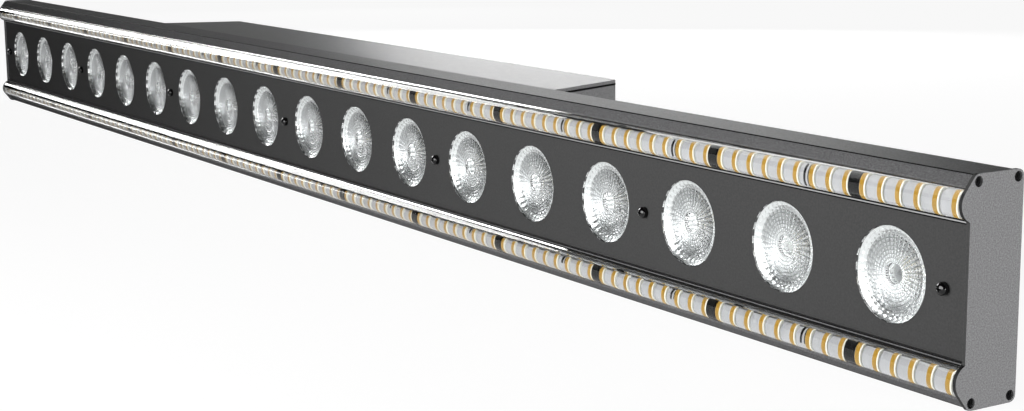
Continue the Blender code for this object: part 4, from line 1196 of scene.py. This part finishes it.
def wire_eye(bend_steps=28, sides=24):
    """The wire swept along its legs and its half round bend, closed at both ends."""
    bend = [math.pi * (1 - k / bend_steps) for k in range(bend_steps + 1)]
    path = [(-EYE_HALF_SPAN, -EYE_INSIDE, math.pi)]
    path += [(EYE_HALF_SPAN * math.cos(a), EYE_LEG + EYE_HALF_SPAN * math.sin(a), a) for a in bend]
    path.append((EYE_HALF_SPAN, -EYE_INSIDE, 0.0))
    bm = bmesh.new()
    loops = []
    for x, y, a in path:
        loop = []
        for k in range(sides):
            turn = 2 * math.pi * k / sides
            out = EYE_WIRE_RADIUS * math.cos(turn)
            spot = (x + out * math.cos(a), REAR_FACE + y + out * math.sin(a))
            loop.append(bm.verts.new((*spot, EYE_RISE + EYE_WIRE_RADIUS * math.sin(turn))))
        loops.append(loop)
    for one, two in zip(loops, loops[1:]):
        for i in range(sides):
            j = (i + 1) % sides
            bm.faces.new((one[i], one[j], two[j], two[i]))
    bm.faces.new(loops[0])
    bm.faces.new(loops[-1])
    bmesh.ops.recalc_face_normals(bm, faces=bm.faces)
    return as_mesh(bm, "eye", zinc)


nut_profile = [(NUT_BORE, 0), (NUT_RADIUS, 0), (NUT_RADIUS, NUT_HEIGHT - NUT_CHAMFER[1])]
nut_profile += [(NUT_RADIUS - NUT_CHAMFER[0], NUT_HEIGHT), (NUT_BORE, NUT_HEIGHT)]
nut = as_mesh(lathe(nut_profile, 6, True), "nut", zinc, FACE_BACK)
nuts = row(nut, 2, (-EYE_HALF_SPAN, REAR_FACE, EYE_RISE), (2 * EYE_HALF_SPAN, 0, 0))
mesh = joined("eye", wire_eye(), nuts)
piece_of("safety_eye_wire", mesh, stands_for=("safety_eye",))


# Bracket lugs: anodised aluminium sections screwed to the housing's back with four pan heads,
# each with the pivot bore through its round boss.
LUG_PLACE = 0.365
LUG_PLATE_FACE = -0.0165
LUG_SCREW_SPREAD = 0.0130
LUG_SCREW_RISE = 0.0178

lug_metal = plain_finish("dark_anodised_aluminium", "#3B3B3D", 0.4, metallic=0.8, grain_mm=0.6)
for name, x in (("left", -LUG_PLACE), ("right", LUG_PLACE)):
    dressed(f"bracket_lug_{name}", lug_metal, edge=0.0004, sharp=45)
    lug_screws = []
    for rise in (-LUG_SCREW_RISE, LUG_SCREW_RISE):
        first = (x - LUG_SCREW_SPREAD, LUG_PLATE_FACE, BAR_AXIS + rise)
        lug_screws.append(row(head_behind("lug_screw"), 2, first, (2 * LUG_SCREW_SPREAD, 0, 0)))
    piece_of(f"lug_screws_{name}", joined("lug_screws", *lug_screws))


# Brackets: 3 mm steel strap folded to two ears and a foot with the clamp hole, in a black
# powder coat that gives the eye a dull sheen. Each turns about its lug's pivot.
BRACKET_DARK = "#151516"
BRACKET_LIGHT = "#242425"
BRACKET_GRAIN_MM = 0.8
BRACKET_ROUGHNESS = 0.45
BRACKET_RELIEF = 0.3
BRACKET_GLOSS = 0.4

bracket_coat = powder_coat(
    "black_bracket_coat",
    BRACKET_DARK,
    BRACKET_LIGHT,
    BRACKET_GRAIN_MM,
    BRACKET_ROUGHNESS,
    BRACKET_RELIEF,
    BRACKET_GLOSS,
)
for side in ("left", "right"):
    body = f"bracket_{side}"
    dressed(body, bracket_coat, edge=0.0005, body=body, sharp=40)


# Locking knobs: black glass-filled nylon with six lobes, moulded round a zinc-plated stud that
# screws through the bracket's ear into the lug.
STUD_REACH_RADIUS = 0.0032
STUD_END_TURN = 0.9
KNOB_PIVOT = (-0.0013, BAR_AXIS)

knob_nylon = plain_finish("black_glass_filled_nylon", "#131314", 0.45, grain_mm=0.7)
stud_zinc = plain_finish("zinc_plated_stud", "#9C9C98", 0.3, metallic=1.0, grain_mm=0.8)
for side in ("left", "right"):
    for number in (1, 2):
        body = f"knob_{side}_{number}"
        knob = dressed(
            f"bracket_{body}", knob_nylon, edge=0.0009, body=body, sharp=40
        )
        knob.data.materials.append(stud_zinc)
        for face in knob.data.polygons:
            reach = math.hypot(face.center.y - KNOB_PIVOT[0], face.center.z - KNOB_PIVOT[1])
            if reach < STUD_REACH_RADIUS and abs(face.normal.x) < STUD_END_TURN:
                face.material_index = 1
